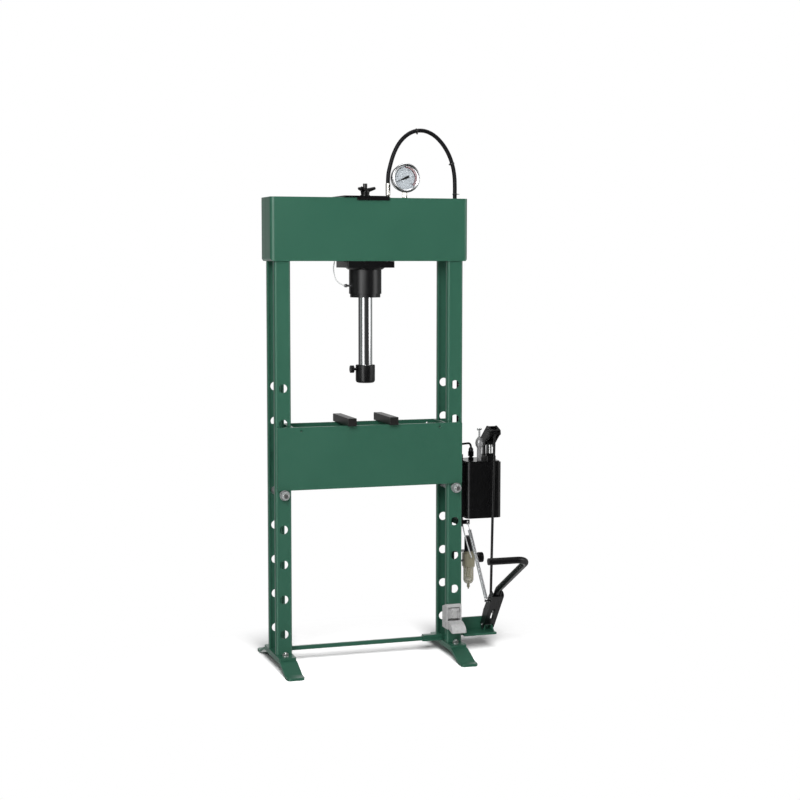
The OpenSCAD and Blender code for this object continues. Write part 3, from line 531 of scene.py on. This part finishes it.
def finishes():
    """Every finish by name, made once."""
    made = bpy.data.materials
    if "frame_green" in made:
        return made
    f = bpy.context.scene.press_finish
    coat("frame_green", f.frame_paint, rough=0.34, peel=f.peel, clear=0.15)
    coat("black_enamel", f.black_paint, rough=0.27, peel=f.peel * 0.8, tone=0.2, level=0.4)
    coat("black_satin", shade(f.black_paint, 1.1), rough=0.30, peel=f.peel * 0.5, tone=0.2)
    coat("bar_oxide", (0.012, 0.0115, 0.011), rough=0.38, peel=0.00002, tone=0.3, grain=300)
    coat("dial_face", (0.60, 0.65, 0.69), rough=0.5, peel=0.000004, tone=0.01)
    coat("dial_black", (0.006, 0.006, 0.007), rough=0.4, peel=0.000004, tone=0.05)
    coat("dial_grey", (0.10, 0.11, 0.13), rough=0.5, peel=0.000004, tone=0.05)
    coat("dial_red", (0.085, 0.020, 0.026), rough=0.5, peel=0.000004, tone=0.05)
    coat("dial_pink", (0.78, 0.57, 0.58), rough=0.5, peel=0.000004, tone=0.01)
    coat("filter_metal", f.filter_paint, rough=0.36, peel=0.00002, tone=0.15)
    metal("fitting_steel", (0.030, 0.030, 0.033), rough=0.34)
    metal("ground_steel", shade(f.zinc, 0.9), rough=0.24, stretch=(1, 0.1, 1))
    metal("zinc_plate", f.zinc, rough=0.34, tone=0.15)
    metal("hard_chrome", f.chrome, rough=0.10, stretch=(1, 1, 0.06), grain=500, depth=0.0000004, tone=0.03)
    metal("bright_chrome", f.chrome, rough=0.12, depth=0.000002, tone=0.03)
    metal("bezel_chrome", f.chrome, rough=0.24, depth=0.0000004, tone=0.02)
    metal("spring_chrome", shade(f.chrome, 1.1), rough=0.28, depth=0.000002, tone=0.05)
    metal("nickel", (0.86, 0.84, 0.78), rough=0.26, depth=0.000002, tone=0.05)
    metal("grey_steel", (0.38, 0.38, 0.39), rough=0.36, tone=0.12)
    cast("valve_grey", (0.30, 0.30, 0.305), rough=0.30)
    coat("pin_zinc", (0.30, 0.315, 0.315), rough=0.30, peel=0.00001, tone=0.15)
    cast("die_cast", f.cast, rough=0.48)
    moulded("knob_plastic", (0.006, 0.006, 0.0065), rough=0.34, level=0.3)
    moulded("olive_plastic", (0.30, 0.28, 0.20), rough=0.4)
    moulded("hose_rubber", f.rubber, rough=0.42, grain=900, depth=0.00005, level=0.15)
    moulded("grey_rubber", (0.12, 0.125, 0.13), rough=0.5)
    moulded("tie_nylon", (0.012, 0.012, 0.012), rough=0.4)
    moulded("filter_felt", (0.62, 0.60, 0.52), rough=0.8, grain=500, depth=0.0002)
    moulded("white_tube", (0.66, 0.67, 0.67), rough=0.25)
    smoked("smoky_bowl", f.bowl, rough=0.12)
    pane("pane_clear", (0.02, 0.02, 0.02), alpha=0.05, rough=0.02)
    return made


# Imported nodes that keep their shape, by finish.
CARRIED = {
    "frame_green": ["column_left_front", "column_left_back", "column_right_front", "column_right_back",
                    "beam_front", "beam_back", "beam_ribs", "foot_left", "foot_right", "base_plates",
                    "tie_bar", "pedal_bracket", "bed_front", "bed_back", "bed_cross_plates"],
    "black_enamel": ["tank_bracket", "tank", "tank_lid", "pump_block", "carriage_plate", "carriage_cap",
                     "lever_head", "pedal_lever", "pull_rod", "filter_bracket"],
    "black_satin": ["barrel", "gland_ring", "ram_head", "manifold"],
    "bar_oxide": ["press_bars"],
    "fitting_steel": ["outlet_fitting", "pressure_pipe"],
    "ground_steel": ["pivot_pins", "pump_piston"],
    "pin_zinc": ["bed_pin_left", "bed_pin_right"],
    "zinc_plate": ["hose_coupling"],
    "hard_chrome": ["ram_rod"],
    "bright_chrome": ["release_handle"],
    "valve_grey": ["release_body"],
    "filter_metal": ["filter_body"],
    "die_cast": ["foot_valve_body", "foot_valve_treadle"],
    "knob_plastic": ["clamp_knob", "regulator_knob", "air_coupling", "thumb_screw"],
    "olive_plastic": ["drain_cock"],
    "dial_face": ["gauge_dial"],
    "pane_clear": ["gauge_glass"],
    "smoky_bowl": ["filter_bowl"],
}
# Share of the edge radius that each finish gets. The others stay sharp.
ROUNDED = {"frame_green": 1.0, "black_enamel": 0.7, "black_satin": 0.6, "bar_oxide": 0.8,
           "die_cast": 0.7, "knob_plastic": 0.5, "ground_steel": 0.3, "pin_zinc": 0.5,
           "filter_metal": 0.4}


# ------------------------------------------------------------------ operators
class Press:
    """What the press's operators share."""
    bl_options = {"REGISTER", "UNDO"}

    @property
    def detail(self):
        """The sizes of the fine pieces."""
        return bpy.context.scene.press_detail

    @property
    def finish(self):
        """The finishes by name."""
        return finishes()


class PRESS_OT_stage(Press, bpy.types.Operator):
    """Makes the camera, the lamps, the pale floor and the plain background."""
    bl_idname = "press.stage"
    bl_label = "Stage"

    # What gloss mirrors, level by level: (direction in degrees to the right of the operator's side,
    # brightness). PEAK is the highest of them, and CEILING the level overhead.
    BANDS = [(-180, 0.37), (-156, 0.37), (-146, 0.04), (-128, 0.05), (-114, 0.16), (-93, 0.42), (-80, 0.14),
             (-61, 0.16), (-53, 3.4), (-43, 3.4), (-36, 0.4), (-22, 0.06), (0, 0.04), (43, 0.04), (52, 1.0),
             (60, 1.0), (74, 0.60), (102, 0.40), (128, 0.2), (146, 0.15), (156, 0.95), (178, 0.95),
             (179, 0.37)]
    PEAK = 3.4
    CEILING = 0.15
    CEILING_EDGE = {"From Min": 0.35, "From Max": 0.65}
    # Paint of the floor as the camera sees it, and as it throws light back on the press.
    FLOOR_SEEN = 0.42
    FLOOR_LIT = 0.24
    FLOOR_HALF = 9.0
    FLOOR_LEVEL = -0.0004
    # Metres from the origin at which the paint starts to fade into white and ends.
    FADE = {"From Min": 0.60, "From Max": 1.10}
    # Lamps: name, width and height, and place from the point that the camera looks at.
    LAMPS = [("key", (1.8, 1.8), (-2.1, -3.7, 1.9)), ("fill", (2.4, 2.6), (3.9, -2.4, 1.2)),
             ("top", (2.2, 2.2), (0.3, -0.4, 3.4))]
    FLOOR_LAMP = ("floor_lamp", (1.5, 1.5), (-0.9, -4.2, 1.55))
    SENSOR = 36
    FAR_CLIP = 60

    def execute(self, context):
        s = context.scene.press_stage
        a, e = s.azimuth, s.elevation
        back = np.array([math.sin(a) * math.cos(e), -math.cos(a) * math.cos(e), math.sin(e)])
        aim = RAM + X * s.aim_side + Z * s.aim
        right = unit(np.cross(-back, Z))
        up = np.cross(back, right)
        lean = math.cos(s.roll) * right + math.sin(s.roll) * up
        up = -math.sin(s.roll) * right + math.cos(s.roll) * up
        data = bpy.data.cameras.new("camera")
        data.lens, data.sensor_width, data.clip_end = s.lens, self.SENSOR, self.FAR_CLIP
        camera = bpy.data.objects.new("camera", data)
        context.scene.collection.objects.link(camera)
        aimed(camera, lean, up, back, aim + back * s.distance)
        context.scene.camera = camera
        context.scene.view_settings.view_transform = "Standard"
        for name, size, offset in self.LAMPS:
            self.lamp(context, name, getattr(s, name), size, offset, aim)
        self.sky(context, s.sky)
        self.floor(context, aim, s.floor)
        return {"FINISHED"}

    def lamp(self, context, name, watts, size, offset, aim):
        """A soft lamp, so wide and high, that faces the press."""
        place = aim + np.array(offset)
        data = bpy.data.lights.new(name, "AREA")
        data.energy, data.shape = watts, "RECTANGLE"
        data.size, data.size_y = size
        lamp = bpy.data.objects.new(name, data)
        context.scene.collection.objects.link(lamp)
        back = unit(place - aim)
        right = unit(np.cross(Z, back))
        aimed(lamp, right, np.cross(back, right), back, place)
        return lamp

    def sky(self, context, level):
        """White to the camera, the bands to gloss, and a plain grey light to everything else. A band
        is found by the arc tangent of the ray's share to the right over its share to the front."""
        world = bpy.data.worlds.new("room")
        context.scene.world = world
        world.use_nodes = True
        tree = world.node_tree
        net = Net("room", tree)
        way = net.node("ShaderNodeSeparateXYZ", {}, {0: net.node("ShaderNodeTexCoord", {}, {}, "Generated")})
        angle = way.math("ARCTAN2", way, way.beside("Y") * -1)
        share = angle * (1 / TURN) + 0.5
        stops = [(0.5 + degrees / 360, (tone / self.PEAK,) * 3) for degrees, tone in self.BANDS]
        cards = net.node("ShaderNodeValToRGB", {"stops": stops}, {"Fac": share}, "Color")
        above = net.node("ShaderNodeMapRange", {"interpolation_type": "SMOOTHSTEP"},
                         {"Value": way.beside("Z"), **self.CEILING_EDGE})
        cards = net.between(above, cards, (self.CEILING / self.PEAK,) * 3)
        path = net.node("ShaderNodeLightPath", {}, {}, "Is Camera Ray")
        gloss = path.beside("Is Glossy Ray")
        even = net.node("ShaderNodeBackground", {}, {"Color": (1, 1, 1, 1), "Strength": level})
        studio = net.node("ShaderNodeBackground", {}, {"Color": cards, "Strength": self.PEAK})
        white = net.node("ShaderNodeBackground", {}, {"Color": (1, 1, 1, 1), "Strength": 1.0})
        lit = net.node("ShaderNodeMixShader", {}, {0: gloss, 1: even, 2: studio})
        shown = net.node("ShaderNodeMixShader", {}, {0: path, 1: lit, 2: white})
        out = tree.nodes.new("ShaderNodeOutputWorld")
        tree.links.new(shown.socket, out.inputs["Surface"])

    def floor(self, context, aim, watts):
        """A wide flat floor that is pale paint near the press and plain white further off, with a lamp
        of its own. The lamp lights nothing else, and is so strong that the bare floor is white and
        only the shadows show. Glossy paint mirrors the room in the floor's place."""
        mesh = bpy.data.meshes.new("floor")
        corners = [(x * self.FLOOR_HALF, y * self.FLOOR_HALF, self.FLOOR_LEVEL)
                   for x, y in ((-1, -1), (1, -1), (1, 1), (-1, 1))]
        mesh.from_pydata(corners, [], [(0, 1, 2, 3)])
        floor = bpy.data.objects.new("floor", mesh)
        context.scene.collection.objects.link(floor)
        net = Net("floor_white")
        spread = net.node("ShaderNodeMapping", {}, {"Vector": net.place, "Scale": (1, 1.4, 0)})
        far = net.node("ShaderNodeVectorMath", {"operation": "LENGTH"}, {0: spread}, "Value")
        fade = net.node("ShaderNodeMapRange", {"interpolation_type": "SMOOTHSTEP"},
                        {"Value": far, **self.FADE})
        seen = net.node("ShaderNodeLightPath", {}, {}, "Is Camera Ray")
        gloss = seen.beside("Is Glossy Ray")
        tint = net.between(seen, (self.FLOOR_LIT,) * 3, (self.FLOOR_SEEN,) * 3)
        paint = net.shine(Base_Color=tint, Roughness=0.8, Specular_IOR_Level=0.0)
        white = net.node("ShaderNodeEmission", {}, {"Color": (1, 1, 1, 1), "Strength": 1.0})
        mixed = net.node("ShaderNodeMixShader", {}, {0: fade * seen, 1: paint, 2: white})
        through = net.node("ShaderNodeBsdfTransparent", {}, {})
        mixed = net.node("ShaderNodeMixShader", {}, {0: gloss, 1: mixed, 2: through})
        mesh.materials.append(net.finish(mixed))
        name, size, offset = self.FLOOR_LAMP
        lamp = self.lamp(context, name, watts, size, offset, aim)
        only = bpy.data.collections.new("floor_only")
        only.objects.link(floor)
        lamp.light_linking.receiver_collection = only


class PRESS_OT_frame(Press, bpy.types.Operator):
    """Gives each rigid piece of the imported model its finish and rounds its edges."""
    bl_idname = "press.frame"
    bl_label = "Finished frame pieces"

    def execute(self, context):
        for finish, nodes in CARRIED.items():
            edge = ROUNDED.get(finish, 0) * self.detail.edge
            for node in nodes:
                eased(node, self.finish[finish], edge)
        return {"FINISHED"}


class PRESS_OT_hose(Press, bpy.types.Operator):
    """Makes the pressure hose in its arch from the carriage to the coupling, with its cable ties."""
    bl_idname = "press.hose"
    bl_label = "Pressure hose"

    ROUTE = [(88, 0, 1776), (88, 0, 1781), (88, 0, 1786), (90, 0, 1812), (98, 0, 1846), (110, 0, 1883),
             (128, 0, 1918), (151, 0, 1945), (180, 0, 1964), (212, 0, 1971), (244, 0, 1966),
             (276, 0, 1948), (305, 0, 1918), (327, 0, 1882), (341, 0, 1844), (348, 0, 1806),
             (350, 0, 1770), (350, 0, 1730), (350, 0, 1680)]
    # Side and height of each tie, and where its lock is: -1 inside the arch, 0 in front.
    TIES = [(200, 1970, -1), (338, 1850, -1), (350, 1739, 0)]
    BEND_LEVEL = 1800
    CRIMP = (18, 50)
    TIE_THICK = 1.5
    LOCK_HALF = 3.4
    LOCK_HIGH = 4.2
    LOCK_BEVEL = 0.6
    TAIL_HALF = 1.2
    TAIL_LEVEL = 2.2
    TAIL_OUT = 4.5
    TAIL_ENDS = (12.5, 14.5)

    def execute(self, context):
        route = smooth_route([at(*p) for p in self.ROUTE], 10)
        begin, end = self.ROUTE[0][0], self.ROUTE[-1][0]
        across = ("carriage", "frame", at(begin, 0, self.BEND_LEVEL), at(end, 0, self.BEND_LEVEL))
        radius = self.detail.hose / 2
        piece("hose_cover", tube(route, radius, 24, Y), self.finish["hose_rubber"], None,
              ["hose"], blend=across)
        self.ferrule(at(begin, 0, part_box("hose_ferrule")[0].z / MM))
        bands = [self.band(route, at(x, 0, z), radius, way) for x, z, way in self.TIES]
        piece("hose_ties", joined(*bands), self.finish["tie_nylon"], None, blend=across)
        return {"FINISHED"}

    def ferrule(self, foot):
        """Hexagon, neck and crimped sleeve. Over the crimp the sleeve's radius is 0.975 of its own,
        give or take 0.012 times the cosine of eight times the angle."""
        first, last = self.CRIMP

        def crimp(radius, angle, height):
            pressed = (height > first * MM) & (height < last * MM)
            return radius * np.where(pressed, 0.975 + 0.012 * np.cos(8 * angle), 1.0)

        z = np.concatenate([[13.9, 14, 17], np.linspace(first, last, 24), [51, 57, 59.5, 60]])
        r = np.concatenate([[3, 6.4, 8.6], np.full(24, 9.0), [9.0, 9.0, 8.4, 7.4]])
        sleeve = turned(np.stack([r, z], -1), foot, sides=64, shape=crimp)
        neck = turned([[5.6, 9], [5.6, 12], [6.4, 12.6], [6.4, 14.2]], foot)
        piece("hose_ferrule_crimped", joined(nut(17, 0, 10, foot), neck, sleeve),
              self.finish["nickel"], "carriage", ["hose_ferrule"])

    def band(self, route, near, radius, way):
        """A cable tie: a flat band round the hose, and the square lock with its cut tail. The lock
        stands outside the arch or inside it, or in front with the tail across the hose."""
        k = int(np.argmin(np.linalg.norm(route - near, axis=1)))
        centre, axis = route[k], unit(route[k + 1] - route[k - 1])
        half = self.detail.tie / 2 / MM
        inner = radius / MM + 0.05
        outer = radius / MM + self.TIE_THICK
        strap = turned([[inner, -half], [outer - 0.2, -half], [outer, -half + 0.4], [outer, half - 0.4],
                        [outer - 0.2, half], [inner, half]], centre, axis, 40, closed=True)
        side = unit(np.cross(axis, Y))
        out, square = (side * way, Y) if way else (-Y, side)
        skin = centre + out * radius
        levels = [0.2, self.LOCK_HIGH - 0.2, self.LOCK_HIGH]
        widths = [self.LOCK_HALF, self.LOCK_HALF, self.LOCK_HALF - self.LOCK_BEVEL]
        lock = tube([skin + out * level * MM for level in levels], np.array(widths) * MM, 4, square)
        high = skin + out * self.TAIL_LEVEL * MM
        short, long = np.array(self.TAIL_ENDS) * MM
        ends = [high, high + out * self.TAIL_OUT * MM] if way else [high - side * short, high + side * long]
        tail = tube(ends, self.TAIL_HALF * MM, 4, square if way else Y)
        return joined(strap, lock, tail)


class PRESS_OT_tubes(Press, bpy.types.Operator):
    """Makes the thin tubes: bleed tube, air tube and air hose."""
    bl_idname = "press.tubes"
    bl_label = "Thin tubes"

    BLEED = [(-79, 0, 1399.7), (-97, 0, 1407.7), (-112, 0, 1422.7), (-121, 0, 1457.7), (-117, 0, 1490),
             (-104, 0, 1535), (-86, 0, 1562), (-79, 0, 1566)]
    AIR_TUBE = [(422, 6, 361), (422, 2, 361), (422, -3, 362), (412, -6, 387), (402, 4, 431),
                (394, 18, 480), (394, 20, 509)]
    AIR_HOSE = [(400, 30, 345), (342, 18, 333), (336, -6, 261), (332, -22, 184), (330, -34, 128),
                (330, -68.1, 128)]

    BLEED_RADIUS = 2
    AIR_TUBE_RADIUS = 2.5
    AIR_HOSE_RADIUS = 4

    def execute(self, context):
        bleed = tube(smooth_route([at(*p) for p in self.BLEED], 8), self.BLEED_RADIUS * MM, 16, Y)
        piece("bleed_line", bleed, self.finish["white_tube"], "carriage",
              ["bleed_tube"])
        ports = [self.port(at(*place)) for place in (self.BLEED[0], self.BLEED[-1])]
        piece("bleed_fittings", joined(*ports), self.finish["grey_steel"], "carriage")
        air = tube(smooth_route([at(*p) for p in self.AIR_TUBE], 10), self.AIR_TUBE_RADIUS * MM, 16,
                   (1, 0, 0.2))
        piece("air_line", air, self.finish["white_tube"], "frame", ["air_tube"])
        hose = tube(smooth_route([at(*p) for p in self.AIR_HOSE], 10), self.AIR_HOSE_RADIUS * MM, 16,
                    (1, 0.1, 0.3))
        piece("air_line_low", hose, self.finish["grey_rubber"], "frame", ["air_hose"])
        return {"FINISHED"}

    def port(self, place):
        """A small banjo port: hexagon, collar and the round shank that screws into the cylinder."""
        shank = turned([[3.8, 10], [3.8, 25]], place, X, 24)
        collar = turned([[3.0, -3], [3.6, -2.5], [3.6, 0]], place, X, 24)
        return joined(nut(11, 0, 10, place, X, 0.8), shank, collar)


class PRESS_OT_spring(Press, bpy.types.Operator):
    """Winds the return spring between the tank's bracket and the pedal. A point of its coil is a
    place on the line from hook to hook, plus the coil's radius times (the cosine of an angle along
    one direction across the line and the sine along the other). The angle grows evenly."""
    bl_idname = "press.spring"
    bl_label = "Return spring"

    TOP = (406, -2, 499)
    FOOT = (448.5, -98, 210)
    HOOK = 6.0
    # How far from the top, and back from the foot, the coil begins and ends.
    UPPER_NECK = 32
    LOWER_NECK = 9.5
    LOWER_EYE = 1.5
    # Stations of the coil to a turn.
    STATIONS = 14

    def execute(self, context):
        d = self.detail
        top, foot = at(*self.TOP), at(*self.FOOT)
        along = unit(foot - top)
        _, first, second = sides_of(along)
        reach = np.linalg.norm(foot - top)
        start, end = self.UPPER_NECK * MM, reach - self.LOWER_NECK * MM
        radius = (d.spring - d.wire) / 2
        t = np.linspace(0, 1, d.turns * self.STATIONS)[:, None]
        angle = t * d.turns * TURN
        coil = (top + along * (start + (end - start) * t) + radius * np.cos(angle) * first
                + radius * np.sin(angle) * second)
        parts = [tube(coil, d.wire / 2, 8, along)]
        upper, lower = top + along * self.HOOK * MM, foot - along * self.LOWER_EYE * MM
        for eye, neck in ((upper, top + along * start), (lower, top + along * end)):
            way = unit(neck - eye)
            parts.append(ring(self.HOOK, d.wire / MM, eye, second, 10))
            parts.append(tube([eye + way * self.HOOK * MM, neck, neck + way * 0.5 * MM], d.wire / 2, 10,
                              second))
            parts.append(tube([neck, neck + first * radius], d.wire / 2, 10, second))
        piece("return_spring_wound", joined(*parts), self.finish["spring_chrome"], None,
              ["return_spring"], blend=("frame", "pedal", top, foot))
        return {"FINISHED"}


class PRESS_OT_gauge(Press, bpy.types.Operator):
    """Makes the gauge: case with its rolled bezel, neck, printed scale and needle."""
    bl_idname = "press.gauge"
    bl_label = "Gauge"

    CENTRE = (148, -15, 1795)
    FACE = 7.6
    # The case from its back round the rolled bezel to the inside, as radius and distance forwards.
    CASE = [(46, -18), (48.6, -17.5), (50, -16), (50, 8.6), (51.4, 9.2), (53, 10.4), (53.8, 12.2),
            (54, 14.2), (53.8, 16.4), (53.1, 18.5), (51.9, 20.1), (50.4, 20.9), (48.8, 20.8), (46.2, 19.8),
            (43.8, 18.4), (42.6, 17.2), (42.3, 16.3), (48, 16.3), (48, -16)]
    # The needle, as distance from its hub and half its width.
    NEEDLE = [(-15, 2.4), (-14.2, 4.0), (-10, 4.4), (-6.5, 3.4), (-3.5, 3.9), (0, 4.6), (3.5, 3.8),
              (8, 2.6), (14, 1.8), (24, 1.1), (39, 0.35)]
    POINTS = math.radians(247)
    LIMIT = math.radians(132)
    # Inner and outer radius of what is printed on the dial.
    LONG_MARK = (37.8, 41.8)
    SHORT_MARK = (39.6, 41.8)
    RIM = (41.8, 42.2)
    TINT = (39.4, 45.8)
    BAND = (36.2, 39.4)
    LONG_HALF = 0.011
    SHORT_HALF = 0.005
    FIGURES = 31
    FIGURE_HIGH = 5.5
    STEPS = 10

    def dial(self, radius, angle, depth=0.0):
        """Places on the dial, by radius in millimetres and angle clockwise from the scale's middle."""
        c = at(*self.CENTRE)
        radius, angle = np.broadcast_arrays(np.asarray(radius, float), np.asarray(angle, float))
        return (c + MM * radius[..., None] * (np.sin(angle)[..., None] * X + np.cos(angle)[..., None] * Z)
                - Y * MM * (self.FACE + depth))

    def plate(self, radii, begin, end, steps=2, depth=0.15):
        """A thin printed patch between two radii and two angles, with its four sides."""
        inner, outer = radii
        angle = np.linspace(begin, end, steps)
        front = np.stack([self.dial(outer, angle, depth), self.dial(inner, angle, depth)])
        rear = np.stack([self.dial(inner, angle), self.dial(outer, angle)])
        grid = np.concatenate([front, rear]).transpose(1, 0, 2)
        return shell(grid)

    def execute(self, context):
        case = turned(self.CASE, at(*self.CENTRE), -Y, 96)
        piece("gauge_case_rolled", case, self.finish["bezel_chrome"], "carriage",
              ["gauge_case"])
        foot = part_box("gauge_case")[0].z / MM
        low = at(self.CENTRE[0], self.CENTRE[1], foot)
        high = self.CENTRE[2] - foot - 49
        collar = turned([[9.6, 0], [10, 0.4], [10, 2.6], [9.6, 3]], low)
        neck = joined(collar, nut(17, 2.9, high, low, turn=math.radians(30)))
        piece("gauge_neck", neck, self.finish["nickel"], "carriage")
        half = self.detail.arc / 2
        major = np.linspace(-half, half, self.STEPS + 1)
        minor = [a for a in np.linspace(-half, half, 5 * self.STEPS + 1) if np.abs(major - a).min() > 0.01]
        marks = [self.plate(self.LONG_MARK, a - self.LONG_HALF, a + self.LONG_HALF) for a in major]
        marks += [self.plate(self.SHORT_MARK, a - self.SHORT_HALF, a + self.SHORT_HALF) for a in minor]
        marks.append(self.plate(self.RIM, -half, half, 60))
        piece("gauge_scale", joined(*marks), self.finish["dial_grey"], "carriage")
        piece("gauge_tint", self.plate(self.TINT, 0, self.LIMIT, 40, 0.05), self.finish["dial_pink"],
              "carriage")
        piece("gauge_limit", self.plate(self.BAND, 0, self.LIMIT, 40, 0.1), self.finish["dial_red"],
              "carriage")
        piece("gauge_figures", self.numbers(major), self.finish["dial_grey"], "carriage")
        piece("gauge_pointer", self.pointer(), self.finish["dial_black"], "needle",
              ["gauge_needle"])
        return {"FINISHED"}

    def pointer(self):
        """The needle: a flat blade whose half width is a function of the distance from its hub, a cap
        and the shaft behind it."""
        along, half = np.array(self.NEEDLE).T
        ahead = self.dial(1, self.POINTS) - self.dial(0, 0)
        across = self.dial(1, self.POINTS + TURN / 4) - self.dial(0, 0)
        blade = []
        for depth, side in ((3.0, -1), (3.0, 1), (2.0, 1), (2.0, -1)):
            blade.append(self.dial(0, 0, depth) + along[:, None] * ahead + side * half[:, None] * across)
        cap = turned([[1.5, -4], [1.5, 2.9], [3.6, 2.9], [3.6, 3.6], [2.8, 4.2], [0.3, 4.4]],
                     self.dial(0, 0), -Y, 32)
        return joined(shell(np.stack(blade, 1)), cap)

    def numbers(self, major):
        """The scale's figures, one hundred apart, set upright inside the long marks."""
        parts = []
        for k, a in enumerate(major):
            if k % 2:
                continue
            curve = bpy.data.curves.new("figure", "FONT")
            curve.body, curve.size, curve.extrude = str(k * 100), self.FIGURE_HIGH * MM, 0.1 * MM
            curve.align_x = curve.align_y = "CENTER"
            text = bpy.data.objects.new("figure", curve)
            bpy.context.scene.collection.objects.link(text)
            mesh = bpy.data.meshes.new_from_object(text.evaluated_get(
                bpy.context.evaluated_depsgraph_get()))
            co = np.empty(len(mesh.vertices) * 3)
            mesh.vertices.foreach_get("co", co)
            wide, high, deep = co.reshape(-1, 3).T[..., None]
            placed = self.dial(self.FIGURES, a, 0.1) + wide * X + high * Z - deep * Y
            parts.append((placed, [list(p.vertices) for p in mesh.polygons]))
            bpy.data.objects.remove(text)
        return joined(*parts)


class PRESS_OT_fasteners(Press, bpy.types.Operator):
    """Makes the foot bolts with washers, nuts and threads, and the bolts and clips of the bed pins."""
    bl_idname = "press.fasteners"
    bl_label = "Fasteners"

    COLUMN = 330
    PACKED_WASHER = 15
    FOOT_NUT = 19
    FOOT_THREAD = 6
    FOOT_PITCH = 1.75
    # Above and below the foot: the nut's two heights, then those of the thread that stands out of it.
    FOOT_ENDS = [(2.5, 10.5, 9.5, 14.5), (-30, -20.1, -34, -29)]
    PIN_NUT = 17
    CLIP_BACK = 12.8
    CLIP_WIRE = 1.6

    def execute(self, context):
        low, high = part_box("foot_bolts")
        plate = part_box("base_plates")[1].z
        half = (high.y - low.y) / 2 / MM - self.PACKED_WASHER
        bolts = []
        for side in (-1, 1):
            for way in (-1, 1):
                foot = at(side * self.COLUMN, way * half, plate / MM)
                washer = turned([[6.5, 0], [11.7, 0], [12, 0.3], [12, 2.2], [11.7, 2.5], [6.5, 2.5]], foot)
                bolts.append(washer)
                for nut_low, nut_high, end_low, end_high in self.FOOT_ENDS:
                    bolts.append(nut(self.FOOT_NUT, nut_low, nut_high, foot))
                    bolts.append(screw(self.FOOT_THREAD, end_low, end_high, foot, self.FOOT_PITCH))
        piece("foot_bolts_threaded", joined(*bolts), self.finish["zinc_plate"], "frame",
              ["foot_bolts"])
        for side, body in (("left", "bed_pin_l"), ("right", "bed_pin_r")):
            low, high = box("bed_pin_" + side)
            face = np.array([(low[0] + high[0]) / 2, low[1], (low[2] + high[2]) / 2])
            clip = ring((high[0] - low[0]) / 2 / MM - 3, self.CLIP_WIRE, face + self.CLIP_BACK * MM * Y, -Y)
            piece(f"bed_pin_{side}_bolt", nut(self.PIN_NUT, 0, 4, face, -Y, 1), self.finish["zinc_plate"],
                  body)
            piece(f"bed_pin_{side}_clip", clip, self.finish["bar_oxide"], body)
        return {"FINISHED"}


class PRESS_OT_filter(Press, bpy.types.Operator):
    """Makes the pleated element that shows through the filter's bowl. Its radius swells by 0.04 times
    the cosine of the angle times the number of pleats."""
    bl_idname = "press.filter"
    bl_label = "Filter element"

    PLACE = (422, 30, 321)
    PLEATS = 18

    def execute(self, context):
        def pleated(radius, angle, height):
            return radius * (1 + 0.04 * np.cos(self.PLEATS * angle))

        element = turned([[3, -43], [8.8, -43], [8.8, -6], [3, -6]], at(*self.PLACE), shape=pleated)
        piece("filter_element", element, self.finish["filter_felt"], "frame")
        return {"FINISHED"}


OPERATORS = (PRESS_OT_stage, PRESS_OT_frame, PRESS_OT_hose, PRESS_OT_tubes, PRESS_OT_spring,
             PRESS_OT_gauge, PRESS_OT_fasteners, PRESS_OT_filter)


class PRESS_PT_panel(bpy.types.Panel):
    """The press's pieces and settings."""
    bl_label = "Workshop press"
    bl_space_type = "VIEW_3D"
    bl_region_type = "UI"
    bl_category = "Press"

    def draw(self, context):
        for group in ("press_finish", "press_detail", "press_stage"):
            values = getattr(context.scene, group)
            column = self.layout.column(align=True)
            for key in values.__annotations__:
                column.prop(values, key)
        for operator in OPERATORS:
            self.layout.operator(operator.bl_idname)


GROUPS = {"press_finish": PressFinish, "press_detail": PressDetail, "press_stage": PressStage}


def register():
    for group in GROUPS.values():
        bpy.utils.register_class(group)
    for name, group in GROUPS.items():
        setattr(bpy.types.Scene, name, PointerProperty(type=group))
    for cls in (*OPERATORS, PRESS_PT_panel):
        bpy.utils.register_class(cls)


def unregister():
    for cls in reversed((*OPERATORS, PRESS_PT_panel)):
        bpy.utils.unregister_class(cls)
    for name, group in GROUPS.items():
        delattr(bpy.types.Scene, name)
        bpy.utils.unregister_class(group)


def main():
    """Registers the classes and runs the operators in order."""
    register()
    for operator in OPERATORS:
        group, name = operator.bl_idname.split(".")
        getattr(getattr(bpy.ops, group), name)()
    bpy.context.view_layer.update()


if __name__ == "__main__":
    main()
